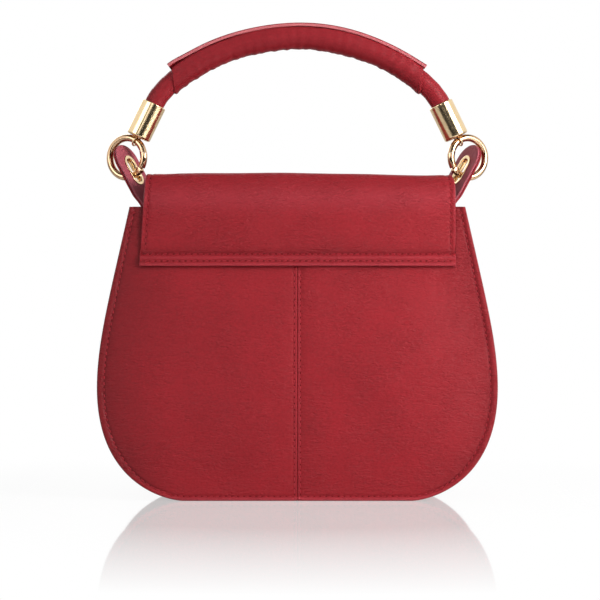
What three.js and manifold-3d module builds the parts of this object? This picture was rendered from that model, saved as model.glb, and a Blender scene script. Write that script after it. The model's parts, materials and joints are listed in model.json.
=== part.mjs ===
// A small half-moon leather handbag with a rigid arched handle, in millimetres.
// X runs across the bag, +Y is its front, +Z is up, and it stands on Z = 0.
import * as THREE from "three";
import { mergeVertices } from "three/addons/utils/BufferGeometryUtils.js";
import Module from "manifold-3d";

const wasm = await Module();
wasm.setup();

// Fits between pieces
const FIT = 0.3; // between sewn, glued or riveted neighbours
const HINGE_GAP = 0.4; // each side of a crease where the flap bends
const PIN_FIT = 0.15; // round a gate's pin
const RING_FIT = 0.65; // between a ring and the eyelet it swings in
const WELD = 1e-4; // distance within which points are one

// Outline of the front and back panels
const PANEL_TOP = 177; // height of the panels' top edge
const PANEL_TOP_HALF = 101.5; // half of the top edge
const BELLY_HALF = 120.7; // half of the widest line
const BELLY_HEIGHT = 68.4; // height of the widest line
const FOOT_HALF = 68; // half of the straight bottom edge
const SIDE_LEAN = 0.22; // run of the side for each mm of drop below the top corner
const SIDE_PULL = 54; // drop over which the side stays nearly straight
const BELLY_PULL_UP = 27; // how far the side stays upright above the widest line
const BELLY_PULL_DOWN = 60; // and below it
const FOOT_PULL = 9; // how far the bottom edge runs on before the corner lifts

// Depth of the body
const DEPTH_BASE = 84;
const DEPTH_TOP = 66;
const CROWN = 5; // how far a panel swells at its middle

// Leather, lining and board
const LEATHER = 1.8;
const SEAM_GAP = 0.4; // between the two halves of the back
const TAPE_WIDTH = 14; // tape behind the seam of the back
const TAPE = 0.8;
const TAPE_TOP_DROP = 4; // end of the tape below the top edge
const FLANGE = 5; // seam allowance outside the gusset's wall
const LIP = 1.4; // turned edges of the gusset
const GUSSET_WALL = 1.6;
const GUSSET_DROP = 9; // end of the gusset below the top edge
const LINING = 0.8;
const BOARD = 3;
const BOARD_END = 10; // straight bottom edge left free at each end of the board

// Flap
const FLAP_LAP = 36; // height of the strip sewn to the back
const FLAP_RISE = 20.8; // top of the flap over the panels' top edge
const FLAP_BEND = 11; // radius of the flap's rounded edges
const FLAP_LEATHER = 1.6;
const FLAP_LOW_HALF = 95.5; // half of the sewn lower edge
const FLAP_TOP_HALF = 92.3; // half width where it turns over
const FLAP_WAIST_HALF = 88; // half width between the handle's tabs
const FLAP_FRONT_HALF = 97; // half of the widest line at the front
const FLAP_LENGTH = 113; // from the front bend down to the lower edge
const FLAP_ROUND = 40; // height of the rounded lower part
const FLAP_BLUNT = 4; // how far the round is cut short of its pole

// Magnetic snap under the flap
const SNAP_ABOVE_EDGE = 24; // centre above the flap's lower edge
const SNAP_RADIUS = 9;
const SOCKET = 1.5;
const SOCKET_DIMPLE_RADIUS = 4;
const SOCKET_DIMPLE = 0.7;
const STUD = 1.3;
const STUD_NUB_RADIUS = 3.4;
const STUD_NUB = 0.6;
const WASHER_RADIUS = 8;
const WASHER = 0.7;

// Tabs that carry the handle
const TAB_WIDTH = 23;
const TAB_LAYER = 1.4; // one of the two leather layers
const TAB_ANCHOR = 34; // length sewn inside the gusset
const TAB_BEND_RISE = 12.7; // bend above the gusset's end
const TAB_BEND_REACH = 9; // length of the bend each side of its corner
const TAB_LEAN = THREE.MathUtils.degToRad(28); // outward lean above the bend
const TAB_TWIST = THREE.MathUtils.degToRad(27); // back edge turned outward
const TAB_RISE = 19.6; // from the bend's corner to the ring's crossing, along the tab
const TAB_TIP = 20.6; // from the ring's crossing to the tip
const TAB_ROUND = 11.5; // length of the rounded tip
const TAB_BLUNT = 0.245; // its flat end, as a share of the width
const SLOT_LENGTH = 18;
const SLOT_WIDTH = 9;
const SLOT_OFFSET = 2.6; // slot's centre above the ring's crossing
const EYELET = 0.7; // wall of the metal lining of a slot
const EYELET_BRIM = 0.8; // width of its turned edge on the leather
const EYELET_PLATE = 0.45; // thickness of that edge
const EYELET_NECK = 0.4; // half height of its narrowest part

// Rings with a spring gate
const RING_RADIUS = 12.2; // to the middle of the wire
const WIRE = 2.25; // radius of the wire
const RING_CROSSING = THREE.MathUtils.degToRad(245); // place on the ring inside the slot
const RING_EYE = THREE.MathUtils.degToRad(124); // place on the ring inside the handle's eye
const GATE_START = THREE.MathUtils.degToRad(165); // free end of the gate
const GATE_HINGE = THREE.MathUtils.degToRad(222); // its pin
const GATE_SLANT = THREE.MathUtils.degToRad(35); // slope of the joint at the free end
const TONGUE = 1.4;
const GATE_KNUCKLE = 2.1; // radius of the rounded ends at the pin
const PIN = 0.6; // radius of the gate's pin
const PIN_SPAN = 0.85; // its length, as a share of the wire's width

// Handle
const FERRULE_LEAN = THREE.MathUtils.degToRad(26);
const FERRULE_LENGTH = 22.9;
const FERRULE_RADIUS = 7.7;
const FERRULE_EDGE = 0.7; // chamfer of its rims
const FERRULE_RECESS = 6.4; // radius of the open lower end
const FERRULE_FLOOR = 2; // thickness of its inner wall
const EYE_DROP = 2.4; // middle of the eye below the rim
const EYE_FIT = 0.4; // between the eye and the ring's wire
const EYE_WIRE = 0.6; // radius of the eye's wire
const EYE_STEM = 1.3; // radius of its stem
const EYE_HEAD = 2.8; // radius of its riveted head
const EYE_HEAD_HEIGHT = 1;
const COVER_RADIUS = 6.1; // leather cover of the handle
const COVER_WALL = 1.1;
const ARCH_RISE = 41.1; // top of the arch above the ferrules
const ARCH_PULL_END = 20.4; // how far the arch runs on in line with a ferrule
const ARCH_PULL_TOP = 41.8; // how far it runs level from its top
const WRAP_WALL = 0.9;
const WRAP_HALF_SPAN = 77; // half of the span that the wrap covers
const STRIP_HALF_SPAN = 74.5;
const STRIP_WIDTH = 10;
const STRIP = 2.2;

// Facets
const OUTLINE_STEPS = 8; // of each curve of the outline
const PANEL_COLUMNS = 5; // across half a panel
const BEND_STEPS = 4;
const WIRE_SIDES = 8;
const RING_STEPS = 30; // of a whole turn
const HANDLE_SIDES = 10;
const HANDLE_STEPS = 24;
const ROUND_SIDES = 20;
const SLOT_STEPS = 6; // of each rounded end of a slot
const LINE_PLACES = 400; // tried along half of the handle's line
const LEAST_DROP = 1; // from a cut end of the outline to its next point

// Sizes that follow from those above
const TAPE_DEPTH = LEATHER + FIT; // depths are measured in from a panel's outer face
const LINING_DEPTH = TAPE_DEPTH + TAPE + FIT;
const GUSSET_TOP = PANEL_TOP - GUSSET_DROP;
const WALL_INNER = FLANGE + GUSSET_WALL; // insets are measured in from the outline
const TAB = 2 * TAB_LAYER + FIT;
const TAB_INSET = WALL_INNER + FIT + TAB / 2;
const LINING_INSET = WALL_INNER + FIT + Math.max(BOARD, TAB) + FIT;
const FLAP_TOP = PANEL_TOP + FLAP_RISE;
const FLAP_SHOULDER = FLAP_TOP - FLAP_BEND;
const FLAP_END = FLAP_SHOULDER - FLAP_LENGTH;
const FLAP_GAP = FIT + SOCKET + FIT + STUD + FIT; // between the front panel and the flap
const FLAP_STANDOFF = FLAP_GAP + LINING + FIT + FLAP_LEATHER;
const EYELET_WAIST = SLOT_WIDTH / 2 - WIRE - RING_FIT; // how far an eyelet closes in on its ring
const SLANT_CUT = 3 * WIRE; // size of the blocks that cut a gate's slanted joint
const THROUGH = 4 * WIRE; // length of cuts right through the wire
const EYE_RADIUS = WIRE + EYE_FIT + EYE_WIRE; // to the middle of the eye's wire
const WRAP_BORE = COVER_RADIUS + FIT;
const WRAP_RADIUS = WRAP_BORE + WRAP_WALL;

const LEATHER_RED = { color: 0xa63040, roughness: 0.5, metalness: 0 };
const LINING_RED = { color: 0x6e2630, roughness: 0.9, metalness: 0 };
const EDGE_PINK = { color: 0xcf7480, roughness: 0.6, metalness: 0 };
const GOLD = { color: 0xd9b26a, roughness: 0.2, metalness: 1 };
const STEEL = { color: 0xb9b9bd, roughness: 0.35, metalness: 1 };
const BOARD_GREY = { color: 0x8b8478, roughness: 0.9, metalness: 0 };
const CORD_WHITE = { color: 0xcfc6b4, roughness: 0.9, metalness: 0 };

// A named mesh with a material of its own.
function piece(name, geometry, look) {
  const mesh = new THREE.Mesh(geometry, new THREE.MeshStandardMaterial(look));
  mesh.name = name;
  return mesh;
}

// A closed surface of these points and triangles, turned to face outwards.
function closedSurface(points, index) {
  let volume = 0;
  for (let i = 0; i < index.length; i += 3) {
    const across = new THREE.Vector3().crossVectors(points[index[i + 1]], points[index[i + 2]]);
    volume += points[index[i]].dot(across);
  }
  const facing = volume > 0 ? index : index.slice().reverse();
  const geometry = new THREE.BufferGeometry().setFromPoints(points);
  geometry.setIndex(facing);
  geometry.computeVertexNormals();
  return geometry;
}

// Joins two rows of points, given by the numbers of their points, with triangles.
// The diagonals stay alike on both faces of a sheet, so that stacked sheets keep their gap.
function stitch(index, low, high, facesBack = false) {
  for (let j = 0; j + 1 < low.length; j++) {
    const [a, b, c, d] = [low[j], low[j + 1], high[j + 1], high[j]];
    index.push(...(facesBack ? [a, c, b, a, d, c] : [a, b, c, a, c, d]));
  }
}

// The numbers of the points of one loop among loops of a size, with its first point again.
function loopIndex(i, size) {
  return [...Array(size + 1).keys()].map((j) => i * size + (j % size));
}

// A solid through loops of points that come round to the first again.
function hoop(loops) {
  const size = loops[0].length;
  const index = [];
  for (let i = 0; i < loops.length; i++) {
    stitch(index, loopIndex(i, size), loopIndex((i + 1) % loops.length, size));
  }
  return closedSurface(loops.flat(), index);
}

// A solid through loops of points, closed at its ends by the triangles of their shape.
function loft(loops, shape) {
  const size = shape.length;
  const index = [];
  for (let i = 0; i + 1 < loops.length; i++) {
    stitch(index, loopIndex(i, size), loopIndex(i + 1, size));
  }
  const cap = THREE.ShapeUtils.triangulateShape(shape, []);
  const turned = THREE.ShapeUtils.area(shape) > 0;
  const last = (loops.length - 1) * size;
  for (const [a, b, c] of cap) {
    const [p, q, r] = turned ? [a, c, b] : [a, b, c];
    index.push(p, q, r, last + r, last + q, last + p);
  }
  return closedSurface(loops.flat(), index);
}

// A sheet under a grid of points: each row has its points and the way into the sheet.
function sheet(rows, depth, thickness) {
  const width = rows[0].points.length;
  const count = rows.length * width;
  const layer = (d) =>
    rows.flatMap(({ points, inward }) => points.map((p) => p.clone().addScaledVector(inward, d)));
  const points = [...layer(depth), ...layer(depth + thickness)];
  const line = (i, base) => [...Array(width).keys()].map((j) => base + i * width + j);
  const side = (j, base) => [...Array(rows.length).keys()].map((i) => base + i * width + j);
  const index = [];
  for (let i = 0; i + 1 < rows.length; i++) {
    stitch(index, line(i, 0), line(i + 1, 0));
    stitch(index, line(i, count), line(i + 1, count), true);
  }
  stitch(index, line(0, count), line(0, 0));
  stitch(index, line(rows.length - 1, 0), line(rows.length - 1, count));
  stitch(index, side(0, 0), side(0, count));
  stitch(index, side(width - 1, count), side(width - 1, 0));
  return closedSurface(points, index);
}

// Turns a closed mesh into a solid for cutting and joining, and back.
function toSolid(geometry) {
  const bare = geometry.clone();
  bare.deleteAttribute("normal");
  bare.deleteAttribute("uv");
  const merged = mergeVertices(bare, WELD);
  const vertProperties = merged.attributes.position.array;
  const triVerts = new Uint32Array(merged.index.array);
  return new wasm.Manifold(new wasm.Mesh({ numProp: 3, vertProperties, triVerts }));
}

function toGeometry(solid) {
  const { vertProperties, triVerts } = solid.getMesh();
  const geometry = new THREE.BufferGeometry();
  geometry.setAttribute("position", new THREE.BufferAttribute(vertProperties, 3));
  geometry.setIndex(new THREE.BufferAttribute(triVerts, 1));
  geometry.computeVertexNormals();
  return geometry;
}

// A round bar along local Z, centred on a point.
function bar(radius, length, x, y, z = 0) {
  const geometry = new THREE.CylinderGeometry(radius, radius, length, ROUND_SIDES);
  return toSolid(geometry.rotateX(Math.PI / 2).translate(x, y, z));
}

// A ring of evenly spaced points, as the shape of a round section.
function circle(radius, sides) {
  return [...Array(sides).keys()].map((i) => {
    const turn = (2 * Math.PI * i) / sides;
    return new THREE.Vector2(radius * Math.cos(turn), radius * Math.sin(turn));
  });
}

function steps(from, to, count) {
  return [...Array(count + 1).keys()].map((i) => THREE.MathUtils.lerp(from, to, i / count));
}

// Outline of the right side, from the top corner down to the end of the straight bottom edge.
function sideOutline() {
  const top = new THREE.Vector2(PANEL_TOP_HALF, PANEL_TOP);
  const belly = new THREE.Vector2(BELLY_HALF, BELLY_HEIGHT);
  const side = new THREE.CubicBezierCurve(
    top,
    new THREE.Vector2(PANEL_TOP_HALF + SIDE_LEAN * SIDE_PULL, PANEL_TOP - SIDE_PULL),
    new THREE.Vector2(BELLY_HALF, BELLY_HEIGHT + BELLY_PULL_UP),
    belly,
  );
  const corner = new THREE.CubicBezierCurve(
    belly,
    new THREE.Vector2(BELLY_HALF, BELLY_HEIGHT - BELLY_PULL_DOWN),
    new THREE.Vector2(FOOT_HALF + FOOT_PULL, 0),
    new THREE.Vector2(FOOT_HALF, 0),
  );
  return [...side.getPoints(OUTLINE_STEPS), ...corner.getPoints(OUTLINE_STEPS).slice(1)];
}

const OUTLINE = sideOutline();

// Half the panel's width at a height.
function halfWidthAt(z) {
  const i = OUTLINE.findIndex((p, k) => k > 0 && p.y <= z);
  const low = OUTLINE[i < 0 ? OUTLINE.length - 1 : i];
  const high = OUTLINE[i < 0 ? OUTLINE.length - 2 : i - 1];
  return THREE.MathUtils.mapLinear(z, low.y, high.y, low.x, high.x);
}

// The outline below a height, moved in by an inset.
function insetOutline(top, inset) {
  const below = OUTLINE.filter((p) => p.y < top - LEAST_DROP);
  const line = [new THREE.Vector2(halfWidthAt(top), top), ...below];
  return line.map((p, i) => {
    const before = line[Math.max(i - 1, 0)];
    const after = line[Math.min(i + 1, line.length - 1)];
    const along = i === line.length - 1 ? new THREE.Vector2(-1, 0) : after.clone().sub(before);
    along.normalize();
    return new THREE.Vector2(p.x + along.y * inset, p.y - along.x * inset);
  });
}

// Horizontal place of a line that runs inside the side wall at an inset.
function sideX(z, inset) {
  return halfWidthAt(z) - inset * Math.hypot(1, SIDE_LEAN);
}

function halfDepthAt(z) {
  return THREE.MathUtils.mapLinear(z, 0, PANEL_TOP, DEPTH_BASE, DEPTH_TOP) / 2;
}

// Distance of a panel's outer face from the middle of the bag.
function panelReach(x, z) {
  const share = Math.min(Math.abs(x) / halfWidthAt(z), 1);
  const swell = Math.sin(Math.PI * Math.min(z / PANEL_TOP, 1));
  return halfDepthAt(z) + CROWN * (1 - share * share) * swell;
}

// Rows of points over a panel, between two sides; face is -1 at the back and 1 at the front.
function panelRows(line, face, leftOf, rightOf, columns) {
  return line.map((p) => ({
    points: steps(leftOf(p.x), rightOf(p.x), columns).map(
      (x) => new THREE.Vector3(x, face * panelReach(x, p.y), p.y),
    ),
    inward: new THREE.Vector3(0, -face, 0),
  }));
}

function backPanel(side) {
  const near = (side * SEAM_GAP) / 2;
  const rows = panelRows(OUTLINE, -1, () => near, (x) => side * x, PANEL_COLUMNS);
  return sheet(rows, 0, LEATHER);
}

function frontPanel() {
  const rows = panelRows(OUTLINE, 1, (x) => -x, (x) => x, 2 * PANEL_COLUMNS);
  return sheet(rows, 0, LEATHER);
}

function seamTape() {
  const heights = steps(PANEL_TOP - TAPE_TOP_DROP, WALL_INNER + FIT, OUTLINE_STEPS);
  const line = heights.map((z) => new THREE.Vector2(TAPE_WIDTH / 2, z));
  const rows = panelRows(line, -1, (x) => -x, (x) => x, 2);
  return sheet(rows, TAPE_DEPTH, TAPE);
}

function liningPanel(face) {
  const line = insetOutline(PANEL_TOP, LINING_INSET);
  const rows = panelRows(line, face, (x) => -x, (x) => x, PANEL_COLUMNS);
  return sheet(rows, LINING_DEPTH, LINING);
}

// A band that follows the outline round the bag: each corner of its section has an inset,
// a side (-1 back, 1 front) and a depth in from that side's panel.
function band(top, corners) {
  const lines = corners.map(({ inset }) => insetOutline(top, inset));
  const loopAt = (i, side) =>
    corners.map(({ face, depth }, k) => {
      const p = lines[k][i];
      return new THREE.Vector3(side * p.x, face * (halfDepthAt(p.y) - depth), p.y);
    });
  const order = [...lines[0].keys()];
  const right = order.map((i) => loopAt(i, 1));
  const left = order.toReversed().map((i) => loopAt(i, -1));
  const shape = corners.map(({ inset, face, depth }) => {
    return new THREE.Vector2(inset, face * (DEPTH_TOP / 2 - depth));
  });
  return loft([...right, ...left], shape);
}

function gusset() {
  const outer = LEATHER + FIT;
  const inner = outer + LIP;
  return band(GUSSET_TOP, [
    { inset: 0, face: -1, depth: outer },
    { inset: WALL_INNER, face: -1, depth: outer },
    { inset: WALL_INNER, face: 1, depth: outer },
    { inset: 0, face: 1, depth: outer },
    { inset: 0, face: 1, depth: inner },
    { inset: FLANGE, face: 1, depth: inner },
    { inset: FLANGE, face: -1, depth: inner },
    { inset: 0, face: -1, depth: inner },
  ]);
}

function liningGusset() {
  const depth = LINING_DEPTH + LINING + FIT;
  return band(GUSSET_TOP, [
    { inset: LINING_INSET, face: -1, depth },
    { inset: LINING_INSET + LINING, face: -1, depth },
    { inset: LINING_INSET + LINING, face: 1, depth },
    { inset: LINING_INSET, face: 1, depth },
  ]);
}

function baseBoard() {
  const length = 2 * (FOOT_HALF - BOARD_END);
  const depth = DEPTH_BASE - 2 * (LINING_DEPTH + LINING + FIT);
  const board = new THREE.BoxGeometry(length, depth, BOARD);
  return board.translate(0, 0, WALL_INNER + FIT + BOARD / 2);
}

// Depth of the flap's outer face behind and before the middle, at its bends.
const FLAP_BACK_Y = halfDepthAt(FLAP_SHOULDER) + FIT + LEATHER;
const FLAP_FRONT_Y = halfDepthAt(FLAP_SHOULDER) + FLAP_STANDOFF;
const CREASE_BACK_Y = FLAP_BEND - FLAP_BACK_Y; // where the flap turns level at the back
const CREASE_FRONT_Y = FLAP_FRONT_Y - FLAP_BEND; // and turns down at the front

// One row across the flap.
function flapRow(half, placeAt, inward) {
  return { points: steps(-half, half, PANEL_COLUMNS).map(placeAt), inward };
}

// Rows of a rounded bend, at turns from the front-facing side of its centre.
function bendRows(centreY, turns, half) {
  return turns.map((turn) => {
    const out = new THREE.Vector3(0, Math.cos(turn), Math.sin(turn));
    const place = (x) =>
      new THREE.Vector3(x, centreY, FLAP_SHOULDER).addScaledVector(out, FLAP_BEND);
    return flapRow(half, place, out.clone().negate());
  });
}

function flapBack() {
  const low = PANEL_TOP - FLAP_LAP;
  const flat = steps(low, FLAP_SHOULDER, BEND_STEPS).map((z) => {
    const half = THREE.MathUtils.mapLinear(z, low, FLAP_SHOULDER, FLAP_LOW_HALF, FLAP_TOP_HALF);
    const place = (x) => new THREE.Vector3(x, -(panelReach(x, z) + FIT + LEATHER), z);
    return flapRow(half, place, new THREE.Vector3(0, 1, 0));
  });
  const turns = steps(Math.PI, Math.PI / 2, BEND_STEPS).slice(1);
  return sheet([...flat, ...bendRows(CREASE_BACK_Y, turns, FLAP_TOP_HALF)], 0, LEATHER);
}

// The bridge between the creases is drawn in at its middle to pass between the tabs.
function bridgeRows() {
  const from = CREASE_BACK_Y + 2 * HINGE_GAP;
  const to = CREASE_FRONT_Y;
  return steps(-1, 1, 2 * BEND_STEPS).map((share) => {
    const y = THREE.MathUtils.mapLinear(share, -1, 1, from, to);
    const half = THREE.MathUtils.lerp(FLAP_WAIST_HALF, FLAP_TOP_HALF, share * share);
    return flapRow(half, (x) => new THREE.Vector3(x, y, FLAP_TOP), new THREE.Vector3(0, 0, -1));
  });
}

// Half width of the hanging front at a height.
function flapFrontHalf(z) {
  const roundTop = FLAP_END + FLAP_ROUND;
  const drop = (roundTop - z) / (FLAP_ROUND + FLAP_BLUNT);
  if (drop > 0) {
    return FLAP_FRONT_HALF * Math.sqrt(1 - drop * drop);
  }
  return THREE.MathUtils.mapLinear(z, FLAP_SHOULDER, roundTop, FLAP_TOP_HALF, FLAP_FRONT_HALF);
}

function frontRows() {
  const edge = flapRow(
    FLAP_TOP_HALF,
    (x) => new THREE.Vector3(x, CREASE_FRONT_Y + 2 * HINGE_GAP, FLAP_TOP),
    new THREE.Vector3(0, 0, -1),
  );
  const turns = steps(Math.PI / 2, 0, BEND_STEPS).slice(1, -1);
  const roundTop = FLAP_END + FLAP_ROUND;
  const heights = [
    ...steps(FLAP_SHOULDER, roundTop, BEND_STEPS),
    ...steps(0, Math.PI / 2, 2 * BEND_STEPS)
      .slice(1)
      .map((turn) => roundTop - FLAP_ROUND * Math.sin(turn)),
  ];
  const hanging = heights.map((z) => {
    const place = (x) => new THREE.Vector3(x, panelReach(x, z) + FLAP_STANDOFF, z);
    return flapRow(flapFrontHalf(z), place, new THREE.Vector3(0, -1, 0));
  });
  return [edge, ...bendRows(CREASE_FRONT_Y, turns, FLAP_TOP_HALF), ...hanging];
}

// A turned disc on the front: depth is the place of its base out from the panel's outer face,
// and the profile gives radii and heights out from that base.
function frontDisc(depth, profile) {
  const z = FLAP_END + SNAP_ABOVE_EDGE;
  const slope = panelReach(0, z + 1) - panelReach(0, z);
  const turned = new THREE.LatheGeometry(
    profile.map(([r, h]) => new THREE.Vector2(r, h)),
    ROUND_SIDES,
  );
  turned.translate(0, depth, 0).rotateX(-Math.atan(slope));
  return turned.translate(0, panelReach(0, z), z);
}

function snapSocket() {
  const floor = SOCKET - SOCKET_DIMPLE;
  return frontDisc(FIT, [
    [0, 0],
    [SNAP_RADIUS, 0],
    [SNAP_RADIUS, SOCKET],
    [SOCKET_DIMPLE_RADIUS, SOCKET],
    [SOCKET_DIMPLE_RADIUS, floor],
    [0, floor],
  ]);
}

function snapStud() {
  return frontDisc(FLAP_GAP - FIT - STUD, [
    [0, -STUD_NUB],
    [STUD_NUB_RADIUS, -STUD_NUB],
    [STUD_NUB_RADIUS, 0],
    [SNAP_RADIUS, 0],
    [SNAP_RADIUS, STUD],
    [0, STUD],
  ]);
}

function snapWasher() {
  return frontDisc(-LEATHER - FIT - WASHER, [
    [0, 0],
    [WASHER_RADIUS, 0],
    [WASHER_RADIUS, WASHER],
    [0, WASHER],
  ]);
}

// The right tab's line in the plane of X and Z: up the gusset, round the bend and out to the tip.
function tabLine() {
  const bendZ = GUSSET_TOP + TAB_BEND_RISE;
  const corner = new THREE.Vector3(sideX(bendZ, TAB_INSET), 0, bendZ);
  const up = new THREE.Vector3(-SIDE_LEAN, 0, 1).normalize();
  const out = new THREE.Vector3(Math.sin(TAB_LEAN), 0, Math.cos(TAB_LEAN));
  const from = corner.clone().addScaledVector(up, -TAB_BEND_REACH);
  const to = corner.clone().addScaledVector(out, TAB_BEND_REACH);
  const footZ = bendZ - TAB_ANCHOR;
  const foot = new THREE.Vector3(sideX(footZ, TAB_INSET), 0, footZ);
  const crossing = corner.clone().addScaledVector(out, TAB_RISE);
  const bend = new THREE.QuadraticBezierCurve3(from, corner, to);
  return { foot, from, bend, to, out, crossing };
}

const TAB_LINE = tabLine();

// The ring's own axes: outward across the bag, up, and square to the ring.
const RING_OUT = new THREE.Vector3(Math.cos(TAB_TWIST), Math.sin(TAB_TWIST), 0);
const RING_UP = new THREE.Vector3(0, 0, 1);
const RING_SQUARE = new THREE.Vector3().crossVectors(RING_OUT, RING_UP);

// Offset from the ring's centre to a place on its wire.
function ringSpoke(turn) {
  const spoke = RING_OUT.clone().multiplyScalar(RING_RADIUS * Math.cos(turn));
  return spoke.addScaledVector(RING_UP, RING_RADIUS * Math.sin(turn));
}

// The handle hangs in the plane Y = 0, and the tabs stand where the rings then cross them.
const TAB_Y = ringSpoke(RING_CROSSING).y - ringSpoke(RING_EYE).y;
const CROSSING = TAB_LINE.crossing.clone().setY(TAB_Y);
const RING_CENTRE = CROSSING.clone().sub(ringSpoke(RING_CROSSING));
const EYE_CENTRE = RING_CENTRE.clone().add(ringSpoke(RING_EYE));

// Places along the tab with their direction, turn and half width.
function tabStations() {
  const { foot, from, bend, to, out, crossing } = TAB_LINE;
  const half = TAB_WIDTH / 2;
  const tip = crossing.clone().addScaledVector(out, TAB_TIP);
  const stations = [{ at: foot, along: from.clone().sub(foot).normalize(), turn: 0, half }];
  for (const t of steps(0, 1, 2 * BEND_STEPS)) {
    const turn = TAB_TWIST * THREE.MathUtils.smoothstep(t, 0, 1);
    stations.push({ at: bend.getPoint(t), along: bend.getTangent(t), turn, half });
  }
  for (const share of steps(0, Math.PI / 2, BEND_STEPS).map(Math.sin)) {
    const at = tip.clone().addScaledVector(out, TAB_ROUND * (share - 1));
    const narrow = half * Math.sqrt(1 - (1 - TAB_BLUNT ** 2) * share ** 2);
    stations.push({ at, along: out, turn: TAB_TWIST, half: narrow });
  }
  return stations;
}

// Axes of the tab: across it towards its back edge, and out of its outer face.
function tabAxes(along, turn) {
  const level = new THREE.Vector3(along.z, 0, -along.x);
  const across = level.clone().multiplyScalar(Math.sin(turn));
  across.y -= Math.cos(turn);
  const outward = level.multiplyScalar(Math.cos(turn));
  outward.y += Math.sin(turn);
  return { across, outward };
}

// Moves a shape drawn round the slot, along, across and out of the tab, to the slot.
function toSlot(geometry) {
  const { outward } = tabAxes(TAB_LINE.out, TAB_TWIST);
  const along = TAB_LINE.out;
  const across = new THREE.Vector3().crossVectors(outward, along);
  const centre = CROSSING.clone().addScaledVector(along, SLOT_OFFSET);
  const matrix = new THREE.Matrix4().makeBasis(along, across, outward).setPosition(centre);
  return geometry.applyMatrix4(matrix);
}

// The slot's outline, grown all round.
function slotOutline(grow) {
  const radius = SLOT_WIDTH / 2 + grow;
  const reach = (SLOT_LENGTH - SLOT_WIDTH) / 2;
  const end = (side) =>
    steps(-Math.PI / 2, Math.PI / 2, SLOT_STEPS).map((turn) => {
      return new THREE.Vector2(reach + radius * Math.cos(turn), radius * Math.sin(turn)).multiplyScalar(side);
    });
  return [...end(1), ...end(-1)];
}

// One leather layer of a tab, between two heights out of its middle.
function tabLayer(low, high) {
  const shape = [
    new THREE.Vector2(-1, low),
    new THREE.Vector2(1, low),
    new THREE.Vector2(1, high),
    new THREE.Vector2(-1, high),
  ];
  const loops = tabStations().map(({ at, along, turn, half }) => {
    const { across, outward } = tabAxes(along, turn);
    return shape.map((corner) => {
      const p = at.clone().setY(TAB_Y).addScaledVector(across, corner.x * half);
      return p.addScaledVector(outward, corner.y);
    });
  });
  const hole = new THREE.Shape(slotOutline(EYELET + FIT));
  const cut = new THREE.ExtrudeGeometry(hole, { depth: 2 * TAB, bevelEnabled: false });
  const slot = toSlot(cut.translate(0, 0, -TAB));
  return toGeometry(toSolid(loft(loops, shape)).subtract(toSolid(slot)));
}

// The metal lining of a slot, with a turned edge on both faces and a neck that holds the ring.
function eyelet() {
  const face = TAB / 2 + FIT;
  const lip = face + EYELET_PLATE;
  const brim = EYELET + EYELET_BRIM;
  const upper = [
    [-EYELET_WAIST, EYELET_NECK],
    [0, lip],
    [brim, lip],
    [brim, face],
    [EYELET, face],
  ];
  const section = [...upper, ...upper.toReversed().map(([grow, height]) => [grow, -height])];
  const lines = section.map(([grow, height]) =>
    slotOutline(grow).map(({ x, y }) => new THREE.Vector3(x, y, height)),
  );
  return toSlot(hoop(lines));
}

// A stretch of the ring's wire in the ring's own plane.
function wireArc(from, to) {
  const shape = circle(WIRE, WIRE_SIDES);
  const count = Math.ceil((RING_STEPS * (to - from)) / (2 * Math.PI));
  const loops = steps(from, to, count).map((turn) =>
    shape.map(({ x, y }) => {
      const reach = RING_RADIUS + x;
      return new THREE.Vector3(reach * Math.cos(turn), reach * Math.sin(turn), y);
    }),
  );
  return toSolid(loft(loops, shape));
}

// A block on one side of the slanted joint at the gate's free end; way is 1 on the gate's side.
function slantBlock(way) {
  const turn = GATE_START + Math.PI / 2 + GATE_SLANT;
  const block = new THREE.BoxGeometry(SLANT_CUT, SLANT_CUT, SLANT_CUT);
  block.translate((way * (SLANT_CUT - FIT)) / 2, 0, 0).rotateZ(turn);
  const x = RING_RADIUS * Math.cos(GATE_START);
  const y = RING_RADIUS * Math.sin(GATE_START);
  return toSolid(block.translate(x, y, 0));
}

const GATE_PIN_X = RING_RADIUS * Math.cos(GATE_HINGE);
const GATE_PIN_Y = RING_RADIUS * Math.sin(GATE_HINGE);
const GATE_CHEEK = PIN_SPAN * WIRE; // half length of the pin
const SLANT_REACH = (2 * WIRE) / RING_RADIUS; // turn that the slanted joint takes up

function atPin(radius, length) {
  return bar(radius, length, GATE_PIN_X, GATE_PIN_Y);
}

function ringBody() {
  const end = GATE_START + 2 * Math.PI + SLANT_REACH / 2;
  const knuckle = atPin(GATE_KNUCKLE, 2 * GATE_CHEEK);
  const fork = atPin(GATE_KNUCKLE + FIT, TONGUE + 2 * FIT);
  return wireArc(GATE_HINGE, end)
    .subtract(slantBlock(1))
    .add(knuckle)
    .subtract(fork)
    .subtract(atPin(PIN + PIN_FIT, THROUGH));
}

function gateBody() {
  const neck = new THREE.BoxGeometry(2 * GATE_KNUCKLE, 2 * GATE_KNUCKLE, TONGUE);
  neck.translate(0, -GATE_KNUCKLE, 0).rotateZ(GATE_HINGE);
  neck.translate(GATE_PIN_X, GATE_PIN_Y, 0);
  const within = toSolid(neck).intersect(wireArc(GATE_START, GATE_HINGE));
  return wireArc(GATE_START - SLANT_REACH / 2, GATE_HINGE)
    .subtract(slantBlock(-1))
    .subtract(atPin(GATE_KNUCKLE + FIT, THROUGH))
    .add(within)
    .add(atPin(GATE_KNUCKLE, TONGUE))
    .subtract(atPin(PIN + PIN_FIT, THROUGH));
}

// Moves a shape from the ring's own plane to its place on the bag.
function toRing(solid) {
  const matrix = new THREE.Matrix4().makeBasis(RING_OUT, RING_UP, RING_SQUARE);
  return toGeometry(solid).applyMatrix4(matrix.setPosition(RING_CENTRE));
}

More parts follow.
